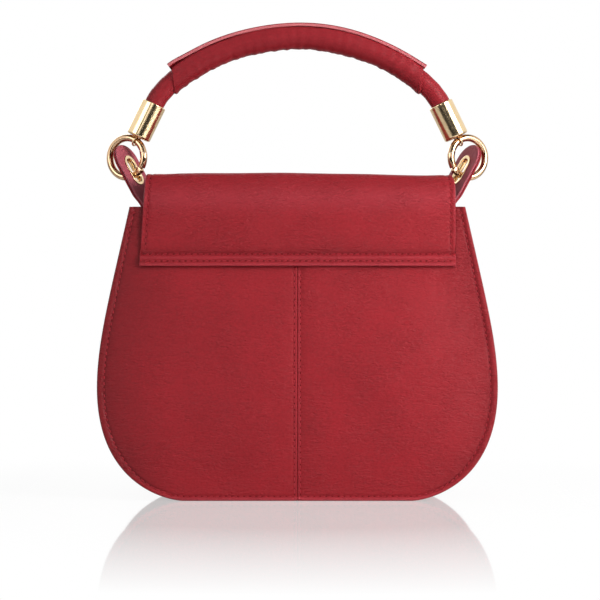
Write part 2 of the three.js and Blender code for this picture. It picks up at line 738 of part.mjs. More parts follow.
// The ferrule's axes: its own up runs in line with the handle's end.
const HANDLE_UP = new THREE.Vector3(-Math.sin(FERRULE_LEAN), 0, Math.cos(FERRULE_LEAN));
const RIM = EYE_CENTRE.clone().addScaledVector(HANDLE_UP, EYE_DROP);
const FLOOR_LOW = EYE_RADIUS + EYE_WIRE - EYE_DROP + FIT;
const FLOOR_TOP = FLOOR_LOW + FERRULE_FLOOR;
const HEAD_TOP = FLOOR_TOP + FIT + EYE_HEAD_HEIGHT;
const COVER_END = HEAD_TOP + FIT; // the handle's end above the rim

// Stands a shape made round Y on the ferrule's rim.
function toFerrule(geometry) {
  const side = new THREE.Vector3(Math.cos(FERRULE_LEAN), 0, Math.sin(FERRULE_LEAN));
  const third = new THREE.Vector3().crossVectors(side, HANDLE_UP);
  const matrix = new THREE.Matrix4().makeBasis(side, HANDLE_UP, third).setPosition(RIM);
  return geometry.applyMatrix4(matrix);
}

function ferrule() {
  const bore = COVER_RADIUS + FIT;
  const stem = EYE_STEM + FIT;
  const top = FERRULE_LENGTH;
  const profile = [
    [FERRULE_RECESS, 0],
    [FERRULE_RADIUS - FERRULE_EDGE, 0],
    [FERRULE_RADIUS, FERRULE_EDGE],
    [FERRULE_RADIUS, top - FERRULE_EDGE],
    [FERRULE_RADIUS - FERRULE_EDGE, top],
    [bore, top],
    [bore, FLOOR_TOP],
    [stem, FLOOR_TOP],
    [stem, FLOOR_LOW],
    [FERRULE_RECESS, FLOOR_LOW],
    [FERRULE_RECESS, 0],
  ];
  const points = profile.map(([r, h]) => new THREE.Vector2(r, h));
  return toFerrule(new THREE.LatheGeometry(points, ROUND_SIDES));
}

// The eye that holds the ring, with its stem through the ferrule's floor and a riveted head.
function handleEye() {
  const loop = new THREE.TorusGeometry(EYE_RADIUS, EYE_WIRE, WIRE_SIDES, ROUND_SIDES);
  const wireWay = ringSpoke(RING_EYE + Math.PI / 2).normalize();
  loop.applyQuaternion(new THREE.Quaternion().setFromUnitVectors(new THREE.Vector3(0, 0, 1), wireWay));
  loop.translate(EYE_CENTRE.x, EYE_CENTRE.y, EYE_CENTRE.z);
  const foot = EYE_RADIUS - EYE_DROP;
  const profile = [
    [0, foot],
    [EYE_STEM, foot],
    [EYE_STEM, FLOOR_TOP + FIT],
    [EYE_HEAD, FLOOR_TOP + FIT],
    [EYE_HEAD, HEAD_TOP],
    [0, HEAD_TOP],
  ];
  const points = profile.map(([r, h]) => new THREE.Vector2(r, h));
  const stem = toFerrule(new THREE.LatheGeometry(points, ROUND_SIDES / 2));
  return toGeometry(toSolid(loop).add(toSolid(stem)));
}

// Half of the handle's arch, from a ferrule's top up to the middle; side is 1 on the right.
function halfArch(side) {
  const mirror = (p) => new THREE.Vector3(side * p.x, p.y, p.z);
  const end = RIM.clone().addScaledVector(HANDLE_UP, FERRULE_LENGTH);
  const top = new THREE.Vector3(0, end.y, end.z + ARCH_RISE);
  const level = new THREE.Vector3(ARCH_PULL_TOP, top.y, top.z);
  const run = end.clone().addScaledVector(HANDLE_UP, ARCH_PULL_END);
  const inside = RIM.clone().addScaledVector(HANDLE_UP, COVER_END);
  return { inside: mirror(inside), end: mirror(end), run: mirror(run), level: mirror(level), top };
}

// The handle's line from left to right, into both ferrules.
function handleLine() {
  const left = halfArch(-1);
  const right = halfArch(1);
  const path = new THREE.CurvePath();
  path.add(new THREE.LineCurve3(left.inside, left.end));
  path.add(new THREE.CubicBezierCurve3(left.end, left.run, left.level, left.top));
  path.add(new THREE.CubicBezierCurve3(right.top, right.level, right.run, right.end));
  path.add(new THREE.LineCurve3(right.end, right.inside));
  return path;
}

const HANDLE_LINE = handleLine();

// The stretch of the handle's line that spans a half width each side of the middle.
class HandleStretch extends THREE.Curve {
  constructor(halfSpan) {
    super();
    const places = steps(0, 0.5, LINE_PLACES);
    this.from = places.find((u) => HANDLE_LINE.getPointAt(u).x > -halfSpan);
  }

  getPoint(t, target = new THREE.Vector3()) {
    return target.copy(HANDLE_LINE.getPointAt(THREE.MathUtils.lerp(this.from, 1 - this.from, t)));
  }
}

// A tube or bar along a line.
function along(path, radius, bore) {
  const shape = new THREE.Shape(circle(radius, HANDLE_SIDES));
  if (bore > 0) {
    shape.holes.push(new THREE.Path(circle(bore, HANDLE_SIDES)));
  }
  return new THREE.ExtrudeGeometry(shape, { steps: HANDLE_STEPS, extrudePath: path });
}

// The flat strip that lies along the outer side of the wrap.
function gripStrip() {
  const stretch = new HandleStretch(STRIP_HALF_SPAN);
  const low = WRAP_RADIUS + FIT;
  const shape = [
    new THREE.Vector2(-STRIP_WIDTH / 2, low),
    new THREE.Vector2(STRIP_WIDTH / 2, low),
    new THREE.Vector2(STRIP_WIDTH / 2, low + STRIP),
    new THREE.Vector2(-STRIP_WIDTH / 2, low + STRIP),
  ];
  const loops = steps(0, 1, HANDLE_STEPS).map((t) => {
    const at = stretch.getPointAt(t);
    const way = stretch.getTangentAt(t);
    const out = new THREE.Vector3(-way.z, 0, way.x);
    return shape.map((c) => at.clone().addScaledVector(out, c.y).add(new THREE.Vector3(0, c.x, 0)));
  });
  return loft(loops, shape);
}

function bodyPieces() {
  return [
    piece("back_panel_left", backPanel(-1), LEATHER_RED),
    piece("back_panel_right", backPanel(1), LEATHER_RED),
    piece("back_seam_tape", seamTape(), LINING_RED),
    piece("front_panel", frontPanel(), LEATHER_RED),
    piece("gusset", gusset(), LEATHER_RED),
    piece("base_board", baseBoard(), BOARD_GREY),
    piece("lining_back", liningPanel(-1), LINING_RED),
    piece("lining_front", liningPanel(1), LINING_RED),
    piece("lining_gusset", liningGusset(), LINING_RED),
    piece("snap_socket", snapSocket(), GOLD),
    piece("snap_washer", snapWasher(), STEEL),
  ];
}

function flapPieces() {
  const under = FLAP_LEATHER + FIT;
  return [
    piece("flap_back", flapBack(), LEATHER_RED),
    piece("flap_bridge", sheet(bridgeRows(), 0, FLAP_LEATHER), LEATHER_RED),
    piece("flap_bridge_lining", sheet(bridgeRows(), under, LINING), LINING_RED),
    piece("flap_front", sheet(frontRows(), 0, FLAP_LEATHER), LEATHER_RED),
    piece("flap_front_lining", sheet(frontRows(), under, LINING), LINING_RED),
    piece("snap_stud", snapStud(), GOLD),
  ];
}

function handlePieces() {
  const wrapLine = new HandleStretch(WRAP_HALF_SPAN);
  const coreRadius = COVER_RADIUS - COVER_WALL - FIT;
  const coverBore = COVER_RADIUS - COVER_WALL;
  return [
    piece("handle_core", along(HANDLE_LINE, coreRadius, 0), CORD_WHITE),
    piece("handle_cover", along(HANDLE_LINE, COVER_RADIUS, coverBore), LEATHER_RED),
    piece("grip_wrap", along(wrapLine, WRAP_RADIUS, WRAP_BORE), LEATHER_RED),
    piece("grip_strip", gripStrip(), EDGE_PINK),
  ];
}

// Pieces of one side's tab, ring and ferrule; the left side is the mirror of the right.
function sidePieces(side) {
  const half = FIT / 2;
  const group = new THREE.Group();
  group.add(
    piece(`tab_outer_${side}`, tabLayer(half, half + TAB_LAYER), LEATHER_RED),
    piece(`tab_inner_${side}`, tabLayer(-half - TAB_LAYER, -half), LEATHER_RED),
    piece(`eyelet_${side}`, eyelet(), GOLD),
    piece(`ring_${side}`, toRing(ringBody()), GOLD),
    piece(`gate_${side}`, toRing(gateBody()), GOLD),
    piece(`gate_pin_${side}`, toRing(atPin(PIN, 2 * GATE_CHEEK)), GOLD),
    piece(`ferrule_${side}`, ferrule(), GOLD),
    piece(`eye_${side}`, handleEye(), GOLD),
  );
  group.scale.x = side === "left" ? -1 : 1;
  return group;
}

const bag = new THREE.Group();
bag.add(...bodyPieces(), ...flapPieces(), ...handlePieces());
bag.add(sidePieces("left"), sidePieces("right"));

// The origin is the middle of the base of the whole bag's box.
const box = new THREE.Box3().setFromObject(bag);
bag.position.y = -(box.min.y + box.max.y) / 2;

export default bag;
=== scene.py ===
import json
import math

import bmesh
import bpy
import numpy as np
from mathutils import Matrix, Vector
from mathutils.geometry import delaunay_2d_cdt


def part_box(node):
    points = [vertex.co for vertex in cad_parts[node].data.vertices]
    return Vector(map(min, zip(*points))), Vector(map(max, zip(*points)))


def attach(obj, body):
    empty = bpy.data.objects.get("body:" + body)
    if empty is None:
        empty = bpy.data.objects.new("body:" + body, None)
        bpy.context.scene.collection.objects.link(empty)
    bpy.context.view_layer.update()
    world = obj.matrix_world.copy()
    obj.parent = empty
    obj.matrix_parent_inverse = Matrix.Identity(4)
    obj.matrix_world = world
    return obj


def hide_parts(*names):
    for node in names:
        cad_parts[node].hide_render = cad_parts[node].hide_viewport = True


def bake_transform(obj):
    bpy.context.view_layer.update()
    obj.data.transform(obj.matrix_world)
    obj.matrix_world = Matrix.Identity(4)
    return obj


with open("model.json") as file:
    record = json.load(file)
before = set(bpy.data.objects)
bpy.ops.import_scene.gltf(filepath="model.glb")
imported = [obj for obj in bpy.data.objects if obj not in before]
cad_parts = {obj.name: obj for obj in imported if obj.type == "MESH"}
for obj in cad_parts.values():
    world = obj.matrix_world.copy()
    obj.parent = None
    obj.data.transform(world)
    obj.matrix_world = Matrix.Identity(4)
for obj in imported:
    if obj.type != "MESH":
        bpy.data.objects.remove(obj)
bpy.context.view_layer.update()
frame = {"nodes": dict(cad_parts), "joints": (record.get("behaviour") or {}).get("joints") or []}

MM = 0.001
SIDES = {"left": -1, "right": 1}
MIRROR = np.array([-1.0, 1.0])


def node_box(node):
    """Lowest and highest corner of a solid."""
    return [np.array(corner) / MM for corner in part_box(node)]


def joint_place(name):
    joint = next(j for j in frame["joints"] if j["name"] == name)
    return np.array(joint["pos_m"]) / MM


# Places taken from the frame
MID_Y = sum(node_box("handle_core"))[1] / 2  # plane of the handle, the middle of the bag's depth
PANEL_TOP = node_box("front_panel")[1][2]
FLAP_TOP = node_box("flap_bridge")[1][2]
SLOT_PLACE = joint_place("ring_swing")

# Outline of the panels
PANEL_TOP_HALF = 101.5
BELLY_HALF = 120.7
BELLY_HEIGHT = 68.4
FOOT_HALF = 68.0
SIDE_LEAN = 0.22
SIDE_PULL = 54.0
BELLY_PULL_UP = 27.0
BELLY_PULL_DOWN = 60.0
FOOT_PULL = 9.0
DEPTH_BASE = 84.0
DEPTH_TOP = 66.0

# Leather and seams
LEATHER = 1.8
FLAP_LEATHER = 1.6
TAB_LAYER = 1.4
GLUE = 0.3
FIT = 0.3
EDGE_ROUND = 0.7  # rounding of a cut or turned edge
SWELL = {-1: 8.0, 1: 5.6}  # how far the back and the front swell inside their edge seam
FLAP_SWELL = 5.1  # how far the flap's front swells with the panel below it
SWELL_REACH = 34.0  # distance over which they rise
SWELL_START = 6.0  # softness of the start of the rise
SEAM_HALF = 0.05  # half the gap of the centre seam
SEAM_STITCH = 1.7  # rows beside the centre seam
STITCH_PITCH = 3.6
STITCH_LENGTH = 2.5
THREAD = 0.34  # radius
HOLE_LENGTH = 1.4  # needle holes
HOLE_WIDTH = 1.0
EDGE_STEP = 1.6  # spacing of points along a sheet's edge
ROW_STEP = 0.9  # spacing of points along a row of stitches
TOP_STEP = 3.0  # spacing of points along a sheet's hidden edge

# Gusset and lining
FLANGE = 5.0
GUSSET_WALL = 1.6
GUSSET_LIP = 1.4
GUSSET_DROP = 9.0
GUSSET_ROUND = 2.0  # inside corner of its wall and lip
LIP_ROUND = 0.6
LIP_MARGIN = 0.25
LINING = 0.8
LINING_INSET = 10.3
LINING_DEPTH = 3.2
LINING_SLACK = 1.2  # how far the lining hangs free of the swelling panel
TAPE = 0.7
TAPE_SLACK = 1.0

# Flap
FLAP_LAP = 36.0
FLAP_LOW = PANEL_TOP - FLAP_LAP
FLAP_STANDOFF = 6.4  # outer face of the hanging front before the panel
FLAP_BEND = 11.0  # depth of the rounded turn at the top
FLAP_END = 73.8
FLAP_ROUND = 40.0
FLAP_FRONT_HALF = 97.0
FLAP_SHOULDER_HALF = 93.0
FLAP_WAIST_HALF = 88.0
FLAP_LOW_HALF = {-1: 95.4, 1: 95.5}  # the sewn part's lower corners
FLAP_CORNER_HALF = {-1: 91.8, 1: 95.6}  # its upper corners, of which the right one is rounder
FLAP_CORNER_DROP = {-1: 4.0, 1: 14.0}  # how far before the end of the turn they start
HEM_ROWS = (3.0, 7.2)  # rows of stitches above the sewn lower edge
FLAP_STITCH = 3.0
FLAP_FREE = 26.0  # the front's stitches start this far past its turn
FLAP_LINING_INSET = 1.2
FLAP_LINING_START = 16.0  # how far behind the middle of the top the lining starts

# Tabs
TAB_HALF = 11.5
TAB_FOOT = 146.7
TAB_BEND_Z = 180.7
TAB_BEND_REACH = 9.0
TAB_INSET = 8.45
TAB_LEAN = math.radians(28)
TAB_TWIST = math.radians(27)
TAB_RISE = 19.6
TAB_TIP = 20.6
TAB_ROUND = 11.5
SLOT_LENGTH = 18.0
SLOT_WIDTH = 9.0
SLOT_OFFSET = 2.6
EYELET_WALL = 0.7
EYELET_BRIM = 0.4
EYELET_PLATE = 0.45
EYELET_WAIST = 1.6
EYELET_ROUND = 0.3
EYELET_LIFT = 0.05  # of its brim over the leather

# Rings
RING_RADIUS = 12.2
WIRE = 2.25
RING_CROSSING = math.radians(245)
RING_EYE = math.radians(124)
GATE_START = math.radians(165)
GATE_HINGE = math.radians(222)
GATE_SLANT = math.radians(35)
GATE_GAP = 0.3
KNUCKLE = 2.1
PIN = 0.6
BARREL_HALF = 0.92 * WIRE  # half the length of the gate's knuckle

# Handle
FERRULE_LEAN = math.radians(26)
FERRULE_LENGTH = 22.9
FERRULE_RADIUS = 7.7
FERRULE_RECESS = 6.6  # radius of the hollow in its lower end
FERRULE_FLOOR = 1.6
FERRULE_ROUND = 0.5
FERRULE_CHAMFER = ((0.9, 0.1), (0.7, 0.16), (0.45, 0.38), (0.2, 0.64), (0.06, 0.84), (0.0, 1.1))  # in and up
EYE_DROP = 2.4
EYE_RADIUS = 3.25
EYE_WIRE = 0.6
STEM = 1.3  # radius
STEM_HALF = 3.0
COVER_RADIUS = 6.1
HANDLE_SEAT = 4.0  # where the handle starts above the ferrule's lower rim
CORD_RADIUS = 4.4
SEAM_TURN = math.radians(215)  # seam of the cover, on the inner side towards the back
ARCH_RISE = 41.1
ARCH_PULL_END = 20.4
ARCH_PULL_TOP = 41.8
WRAP_RADIUS = 7.3
WRAP_HALF_SPAN = 77.0
WRAP_SLANT = 3.5
STRIP_HALF_SPAN = 74.5
STRIP_WIDTH = 10.0
STRIP = 2.2
STRIP_ROUND = 0.5


# Flat geometry


def bezier(a, b, c, d, count):
    t = np.linspace(0, 1, count + 1)[:, None]
    a, b, c, d = (np.array(p, float) for p in (a, b, c, d))
    return (1 - t) ** 3 * a + 3 * (1 - t) ** 2 * t * b + 3 * (1 - t) * t**2 * c + t**3 * d


def rounded(start, corner, end, count):
    """Points of a round corner between two places."""
    t = np.linspace(0, 1, count + 1)[:, None]
    return (1 - t) ** 2 * start + 2 * t * (1 - t) * corner + t**2 * end


def turns(count):
    """Evenly spaced angles of a full turn."""
    return np.arange(count) * 2 * np.pi / count


def circle(radius, count):
    return np.c_[radius * np.cos(turns(count)), radius * np.sin(turns(count))]


def unit(vectors):
    return vectors / np.linalg.norm(vectors, axis=-1, keepdims=True)


def closed(loop):
    return np.vstack([loop, loop[:1]])


def run_along(line):
    """Distance along a line to each of its points."""
    return np.concatenate([[0], np.cumsum(np.linalg.norm(np.diff(line, axis=0), axis=1))])


def read_at(place, run, values):
    """Rows of values, one for each step of a run, read at places between them."""
    return np.stack([np.interp(place, run, column) for column in values.T], axis=-1)


def resample(line, gap):
    """Evenly spaced points along a line."""
    line = np.array(line, float)
    run = run_along(line)
    count = max(int(round(run[-1] / gap)), 1)
    return read_at(np.linspace(0, run[-1], count + 1), run, line)


def smooth(value, low, high):
    t = np.clip((np.asarray(value, float) - low) / (high - low), 0, 1)
    return t * t * (3 - 2 * t)


def bump(value, middle, width):
    return np.exp(-(((value - middle) / width) ** 2))


def nearest(points, line):
    """Distance from each point to a line of points, and the place along the line."""
    starts, ways = line[:-1], np.diff(line, axis=0)
    lengths = np.linalg.norm(ways, axis=1)
    offset = points[:, None, :] - starts[None]
    share = np.clip((offset * ways).sum(2) / (lengths**2), 0, 1)
    gaps = np.linalg.norm(offset - share[..., None] * ways, axis=2)
    best = gaps.argmin(axis=1)
    rows = np.arange(len(points))
    return gaps[rows, best], run_along(line)[best] + share[rows, best] * lengths[best]


def inside(points, loop):
    """Which points lie inside a closed loop."""
    found = np.zeros(len(points), bool)
    for a, b in zip(loop, np.roll(loop, -1, axis=0)):
        spans = (a[1] > points[:, 1]) != (b[1] > points[:, 1])
        rise = b[1] - a[1] if b[1] != a[1] else 1.0
        cross = a[0] + (points[:, 1] - a[1]) * (b[0] - a[0]) / rise
        found ^= spans & (points[:, 0] < cross)
    return found


def line_normals(line):
    """Unit normals to the left of a line of points."""
    ways = unit(np.gradient(line, axis=0))
    return np.c_[-ways[:, 1], ways[:, 0]]


# Shape of the bag

SIDE_CURVE = np.vstack([
    bezier((PANEL_TOP_HALF, PANEL_TOP), (PANEL_TOP_HALF + SIDE_LEAN * SIDE_PULL, PANEL_TOP - SIDE_PULL),
           (BELLY_HALF, BELLY_HEIGHT + BELLY_PULL_UP), (BELLY_HALF, BELLY_HEIGHT), 60),
    bezier((BELLY_HALF, BELLY_HEIGHT), (BELLY_HALF, BELLY_HEIGHT - BELLY_PULL_DOWN),
           (FOOT_HALF + FOOT_PULL, 0), (FOOT_HALF, 0), 70)[1:],
])
RIGHT_EDGE = resample(np.vstack([SIDE_CURVE, [(0, 0)]]), EDGE_STEP)  # from the top corner round to the seam
WHOLE_EDGE = np.vstack([RIGHT_EDGE, (RIGHT_EDGE * MIRROR)[-2::-1]])


def half_width(z):
    return np.interp(z, SIDE_CURVE[::-1, 1], SIDE_CURVE[::-1, 0])


def half_depth(z):
    return (DEPTH_BASE + (DEPTH_TOP - DEPTH_BASE) * np.asarray(z, float) / PANEL_TOP) / 2


def seam_inset(z):
    """Distance from the outline in to the edge seam: narrow at the base, widest at the belly."""
    return 2.7 + 1.6 * smooth(z, 0, 26) - 1.0 * smooth(z, 110, PANEL_TOP)


def swell(x, z):
    """Share of its swell by which a panel stands out of its edge plane."""
    points = np.c_[np.abs(x), np.minimum(z, PANEL_TOP)]
    depth = np.maximum(nearest(points, RIGHT_EDGE)[0] - seam_inset(z), 0)
    rise = 1 - np.exp(-(np.hypot(depth, SWELL_START) - SWELL_START) / SWELL_REACH)
    return rise * (1 - 0.8 * smooth(z, 105, PANEL_TOP + 6))


def slump(x, z):
    """Soft, shallow unevenness of hand-made leather."""
    return 0.32 * (
        np.sin(x / 19 + 0.7) * np.sin(z / 23 + 1.1)
        + 0.6 * np.sin(x / 11.3 - z / 17.7 + 2.0)
        + 0.4 * np.sin(x / 31 + z / 13.1)
    )


def panel_place(face, sunk=0.0):
    """Puts flat points at the back (-1) or the front (1) of the bag, in a panel's face or sunk below it."""
    def place(flat):
        x, z = flat.T
        y = MID_Y + face * (half_depth(z) + SWELL[face] * swell(x, z) - sunk)
        return np.c_[x, y, z]
    return place


def rounding(depth, radius):
    """Drop of a surface towards its rounded edge."""
    short = np.clip(radius - depth, 0, radius)
    return radius - np.sqrt(radius**2 - short**2)


def puckers(depth, along, row):
    """Groove that a row of stitches pulls into leather, deeper at each stitch hole."""
    ripple = 0.5 + 0.5 * np.cos(2 * np.pi * along / STITCH_PITCH)
    return -0.3 * bump(depth, row, 0.75) - 0.18 * ripple * bump(depth, row, 1.1)


# Meshes


def link_object(name, data):
    obj = bpy.data.objects.new(name, data)
    bpy.context.scene.collection.objects.link(obj)
    return obj


def make_piece(name, points, faces, material, body, replaces=(), slot="leather", sharp=35):
    """A shown mesh that rides on a body, if one is named, with one material or a list of them."""
    mesh = bpy.data.meshes.new(name)
    mesh.from_pydata((np.asarray(points) * MM).tolist(), [], [list(map(int, f)) for f in faces])
    mesh.polygons.foreach_set("use_smooth", np.ones(len(mesh.polygons), bool))
    mesh.set_sharp_from_angle(angle=math.radians(sharp))
    for m in material if isinstance(material, list) else [material]:
        mesh.materials.append(m)
    obj = link_object(name, mesh)
    mesh.validate()
    if body is not None:
        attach(obj, body)
    if replaces:
        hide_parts(*replaces)
    return obj


def make_solid(name, solid, material, body, **more):
    """A piece made from the points and faces of a closed mesh, with its faces turned outwards."""
    points, faces = solid
    bm = bmesh.new()
    verts = [bm.verts.new(p) for p in points]
    for f in faces:
        bm.faces.new([verts[i] for i in f])
    bmesh.ops.recalc_face_normals(bm, faces=bm.faces)
    bm.verts.index_update()
    turned = [[v.index for v in f.verts] for f in bm.faces]
    bm.free()
    return make_piece(name, points, turned, material, body, **more)


def make_metal(name, solid, material, body, node=None, sharp=45):
    """A plated piece, which stands for a CAD node unless it is an addition."""
    return make_solid(name, solid, material, body, replaces=[node] if node else (), slot="gold", sharp=sharp)


def set_face_materials(obj, numbers):
    obj.data.polygons.foreach_set("material_index", np.asarray(numbers, np.int32))


def set_tone(obj, tone=0.0):
    """Stores each point's painted shade (below 0) or painted highlight (above 0)."""
    attribute = obj.data.attributes.new("tone", "FLOAT", "POINT")
    values = np.zeros(len(attribute.data), np.float32) + np.asarray(tone, np.float32)
    attribute.data.foreach_set("value", values)


def triangulate(loops, inner):
    """Triangles between the first loop and the others, which are holes, with extra points inside."""
    edges = []
    start = 0
    for loop in loops:
        edges += [(start + i, start + (i + 1) % len(loop)) for i in range(len(loop))]
        start += len(loop)
    found = delaunay_2d_cdt([Vector(p) for p in np.vstack([*loops, inner])], edges, [], 1, 1e-4)
    flat = np.array([tuple(p) for p in found[0]])
    faces = np.array([tuple(f) for f in found[2]])
    for hole in loops[1:]:
        faces = faces[~inside(flat[faces].mean(axis=1), hole)]
    return flat, faces


def surface_normals(place, flat, step=0.05):
    along = place(flat + [step, 0]) - place(flat - [step, 0])
    up = place(flat + [0, step]) - place(flat - [0, step])
    return unit(np.cross(along, up))


def plain_relief(flat, depth, along):
    """Height and tone of a sheet with no relief."""
    return np.zeros(len(flat)), np.zeros(len(flat))


class Sheet:
    """Leather or cloth cut to a flat outline, placed in space, with relief on its outer face."""

    def __init__(self, outline, place, relief, thickness, way,
                 edge=None, rings=(), lines=(), holes=(), gap=3.0):
        self.place, self.relief, self.way = place, relief, way
        self.edge = closed(outline) if edge is None else edge
        fine = [self.edge + line_normals(self.edge) * d * s for d in rings for s in (-1, 1)]
        low, high = outline.min(axis=0), outline.max(axis=0)
        grid = np.array([
            (x, y)
            for row, y in enumerate(np.arange(low[1], high[1], gap * 0.87))
            for x in np.arange(low[0] + (row % 2) * gap / 2, high[0], gap)
        ])
        grid = grid[nearest(grid, self.edge)[0] > max(rings, default=0) + 0.7 * gap]
        for line in lines:
            grid = grid[nearest(grid, line)[0] > 0.6 * gap]
        inner = np.vstack([*fine, *lines, grid])
        inner = inner[inside(inner, outline)]
        for hole in holes:
            inner = inner[~inside(inner, hole)]
        for loop in (outline, *holes):
            inner = inner[nearest(inner, closed(loop))[0] > 0.12]
        self.flat, faces = triangulate([outline, *holes], inner)
        depth, along = nearest(self.flat, self.edge)
        height, self.tone = relief(self.flat, depth, along)
        normals = way * surface_normals(place, self.flat)
        base = place(self.flat)
        drop = rounding(depth, min(EDGE_ROUND, 0.45 * thickness))
        outer = base + normals * (height - drop)[:, None]
        under = base - normals * (thickness - drop)[:, None]
        self.points = np.vstack([outer, under])
        self.faces, self.rim = self.close(faces, len(outer))

    def close(self, faces, count):
        """Outer, inner and rim faces, and which of them are rim."""
        first, second = (self.flat[faces[:, k]] - self.flat[faces[:, 0]] for k in (1, 2))
        area = first[:, 0] * second[:, 1] - first[:, 1] * second[:, 0]
        turned = np.where((area * self.way > 0)[:, None], faces, faces[:, ::-1])
        directed = {(int(a), int(b)) for f in turned for a, b in zip(f, np.roll(f, -1))}
        rim = sorted((a, b) for a, b in directed if (b, a) not in directed)
        sides = [(b, a, a + count, b + count) for a, b in rim]
        every = [*turned.tolist(), *(turned[:, ::-1] + count).tolist(), *sides]
        return every, np.arange(len(every)) >= 2 * len(turned)

    def make(self, name, materials, body, **more):
        obj = make_piece(name, self.points, self.faces, materials, body, **more)
        if isinstance(materials, list):
            set_face_materials(obj, self.rim)
        set_tone(obj, np.tile(self.tone, 2))
        return obj

    def on(self, line):
        """Places and normals of a flat line on the outer face."""
        height, _ = self.relief(line, *nearest(line, self.edge))
        normals = self.way * surface_normals(self.place, line)
        return self.place(line) + normals * height[:, None], normals


def sweep(loops, comes_round=False):
    """Points and faces of a solid through loops of points, capped at both ends unless it comes round."""
    loops = np.asarray(loops, float)
    rows, width = loops.shape[:2]
    number = np.arange(rows * width).reshape(rows, width)
    here = number if comes_round else number[:-1]
    ahead = np.roll(number, -1, axis=0)[:len(here)]
    quads = np.stack([here, np.roll(here, -1, axis=1), np.roll(ahead, -1, axis=1), ahead], axis=-1)
    caps = [] if comes_round else [number[0, ::-1].tolist(), number[-1].tolist()]
    return loops.reshape(-1, 3), quads.reshape(-1, 4).tolist() + caps


def joined(solids):
    """Several meshes as one."""
    points, faces = [], []
    for more_points, more_faces in solids:
        faces += [[i + len(points) for i in f] for f in more_faces]
        points.extend(more_points)
    return points, faces


def lathe(profile, origin, axis, count=64):
    """A turned solid: the profile's loop gives radii and heights along an axis."""
    axis = unit(np.array(axis, float))
    first = unit(np.cross(axis, (0, 1, 0) if abs(axis[1]) < 0.9 else (1, 0, 0)))
    second = np.cross(axis, first)
    spokes = [math.cos(t) * first + math.sin(t) * second for t in turns(count)]
    return sweep([[origin + spoke * r + axis * h for r, h in profile] for spoke in spokes], comes_round=True)


def round_rim(radius, height, edge, count):
    """Points of a rounded rim from its side to its top, as radii and heights."""
    turn = np.linspace(0, np.pi / 2, count)
    return [*zip(radius - edge + edge * np.cos(turn), height - edge + edge * np.sin(turn))]


def barrel(radius, half, edge):
    """Profile of a short bar with rounded rims, with a row that keeps the shading of its side straight."""
    top = [(radius, 0.6 * (half - edge)), *round_rim(radius, half, edge, 6)]
    return [(0.001, -half)] + [(r, -h) for r, h in top[::-1]] + top + [(0.001, half)]


def mirror_x(points, sign):
    return np.asarray(points) * [sign, 1, 1]


# Materials

WHITE = (1, 1, 1, 1)


class Nodes:
    """Short names for building the nodes of a material or a world."""

    def __init__(self, owner):
        owner.use_nodes = True
        self.owner, self.tree = owner, owner.node_tree

    def put(self, socket, value):
        """Sets a socket to a value, or links it to another node's output."""
        if isinstance(value, bpy.types.NodeSocket):
            self.tree.links.new(value, socket)
        else:
            socket.default_value = value

    def add(self, kind, **values):
        node = self.tree.nodes.new(f"ShaderNode{kind}")
        for key, value in values.items():
            if hasattr(node, key):
                setattr(node, key, value)
            else:
                self.put(node.inputs[key.replace("_", " ")], value)
        return node

    def fill(self, kind, *values, **settings):
        """First output of a new node whose inputs are given in their order."""
        node = self.add(kind, **settings)
        for socket, value in zip(node.inputs, values):
            self.put(socket, value)
        return node.outputs[0]

    def math(self, operation, *values):
        return self.fill("Math", *values, operation=operation)

    def coordinates(self, scale):
        """Object coordinates in millimetres times a scale, one number or three."""
        factors = scale if isinstance(scale, tuple) else (scale,) * 3
        where = self.add("TexCoord").outputs["Object"]
        return self.add("Mapping", Vector=where, Scale=[f / MM for f in factors]).outputs["Vector"]

    def noise(self, scale, detail, roughness, distortion=0.0):
        node = self.add("TexNoise", Vector=self.coordinates(scale), Scale=1.0, Detail=detail,
                        Roughness=roughness, Distortion=distortion)
        return node.outputs["Fac"]

    def cells(self, scale, feature, **more):
        node = self.add("TexVoronoi", feature=feature, Scale=1.0, Vector=self.coordinates(scale), **more)
        return node.outputs["Distance"]

    def spread(self, value, low, high, to_low=0.0, to_high=1.0):
        node = self.add("MapRange", Value=value, From_Min=low, From_Max=high, To_Min=to_low, To_Max=to_high)
        return node.outputs["Result"]

    def mix(self, share, a, b):
        node = self.add("Mix", data_type="RGBA", Factor=share)
        for key, value in (("A", a), ("B", b)):
            self.put(next(s for s in node.inputs if s.name == key and s.type == "RGBA"), value)
        return next(s for s in node.outputs if s.type == "RGBA")

    def bump(self, height, depth, strength, **more):
        """Bump from a height between 0 and 1 that stands for a depth in millimetres."""
        node = self.add("Bump", Strength=strength, Distance=depth * MM, Height=height, **more)
        return node.outputs["Normal"]

    def finish(self, base, roughness, normal, **plain):
        """The material, with its shader's main sockets linked and its plain values set."""
        shader = self.tree.nodes["Principled BSDF"]
        for key, value in {"Base_Color": base, "Roughness": roughness, "Normal": normal, **plain}.items():
            self.put(shader.inputs[key.replace("_", " ")], value)
        return self.owner


def material_nodes(name):
    return Nodes(bpy.data.materials.new(name))


def colour(red, green, blue):
    """A colour given as it looks on a screen, from 0 to 255."""
    channel = [v / 255 for v in (red, green, blue)]
    linear = [v / 12.92 if v <= 0.04045 else ((v + 0.055) / 1.055) ** 2.4 for v in channel]
    return (*linear, 1.0)


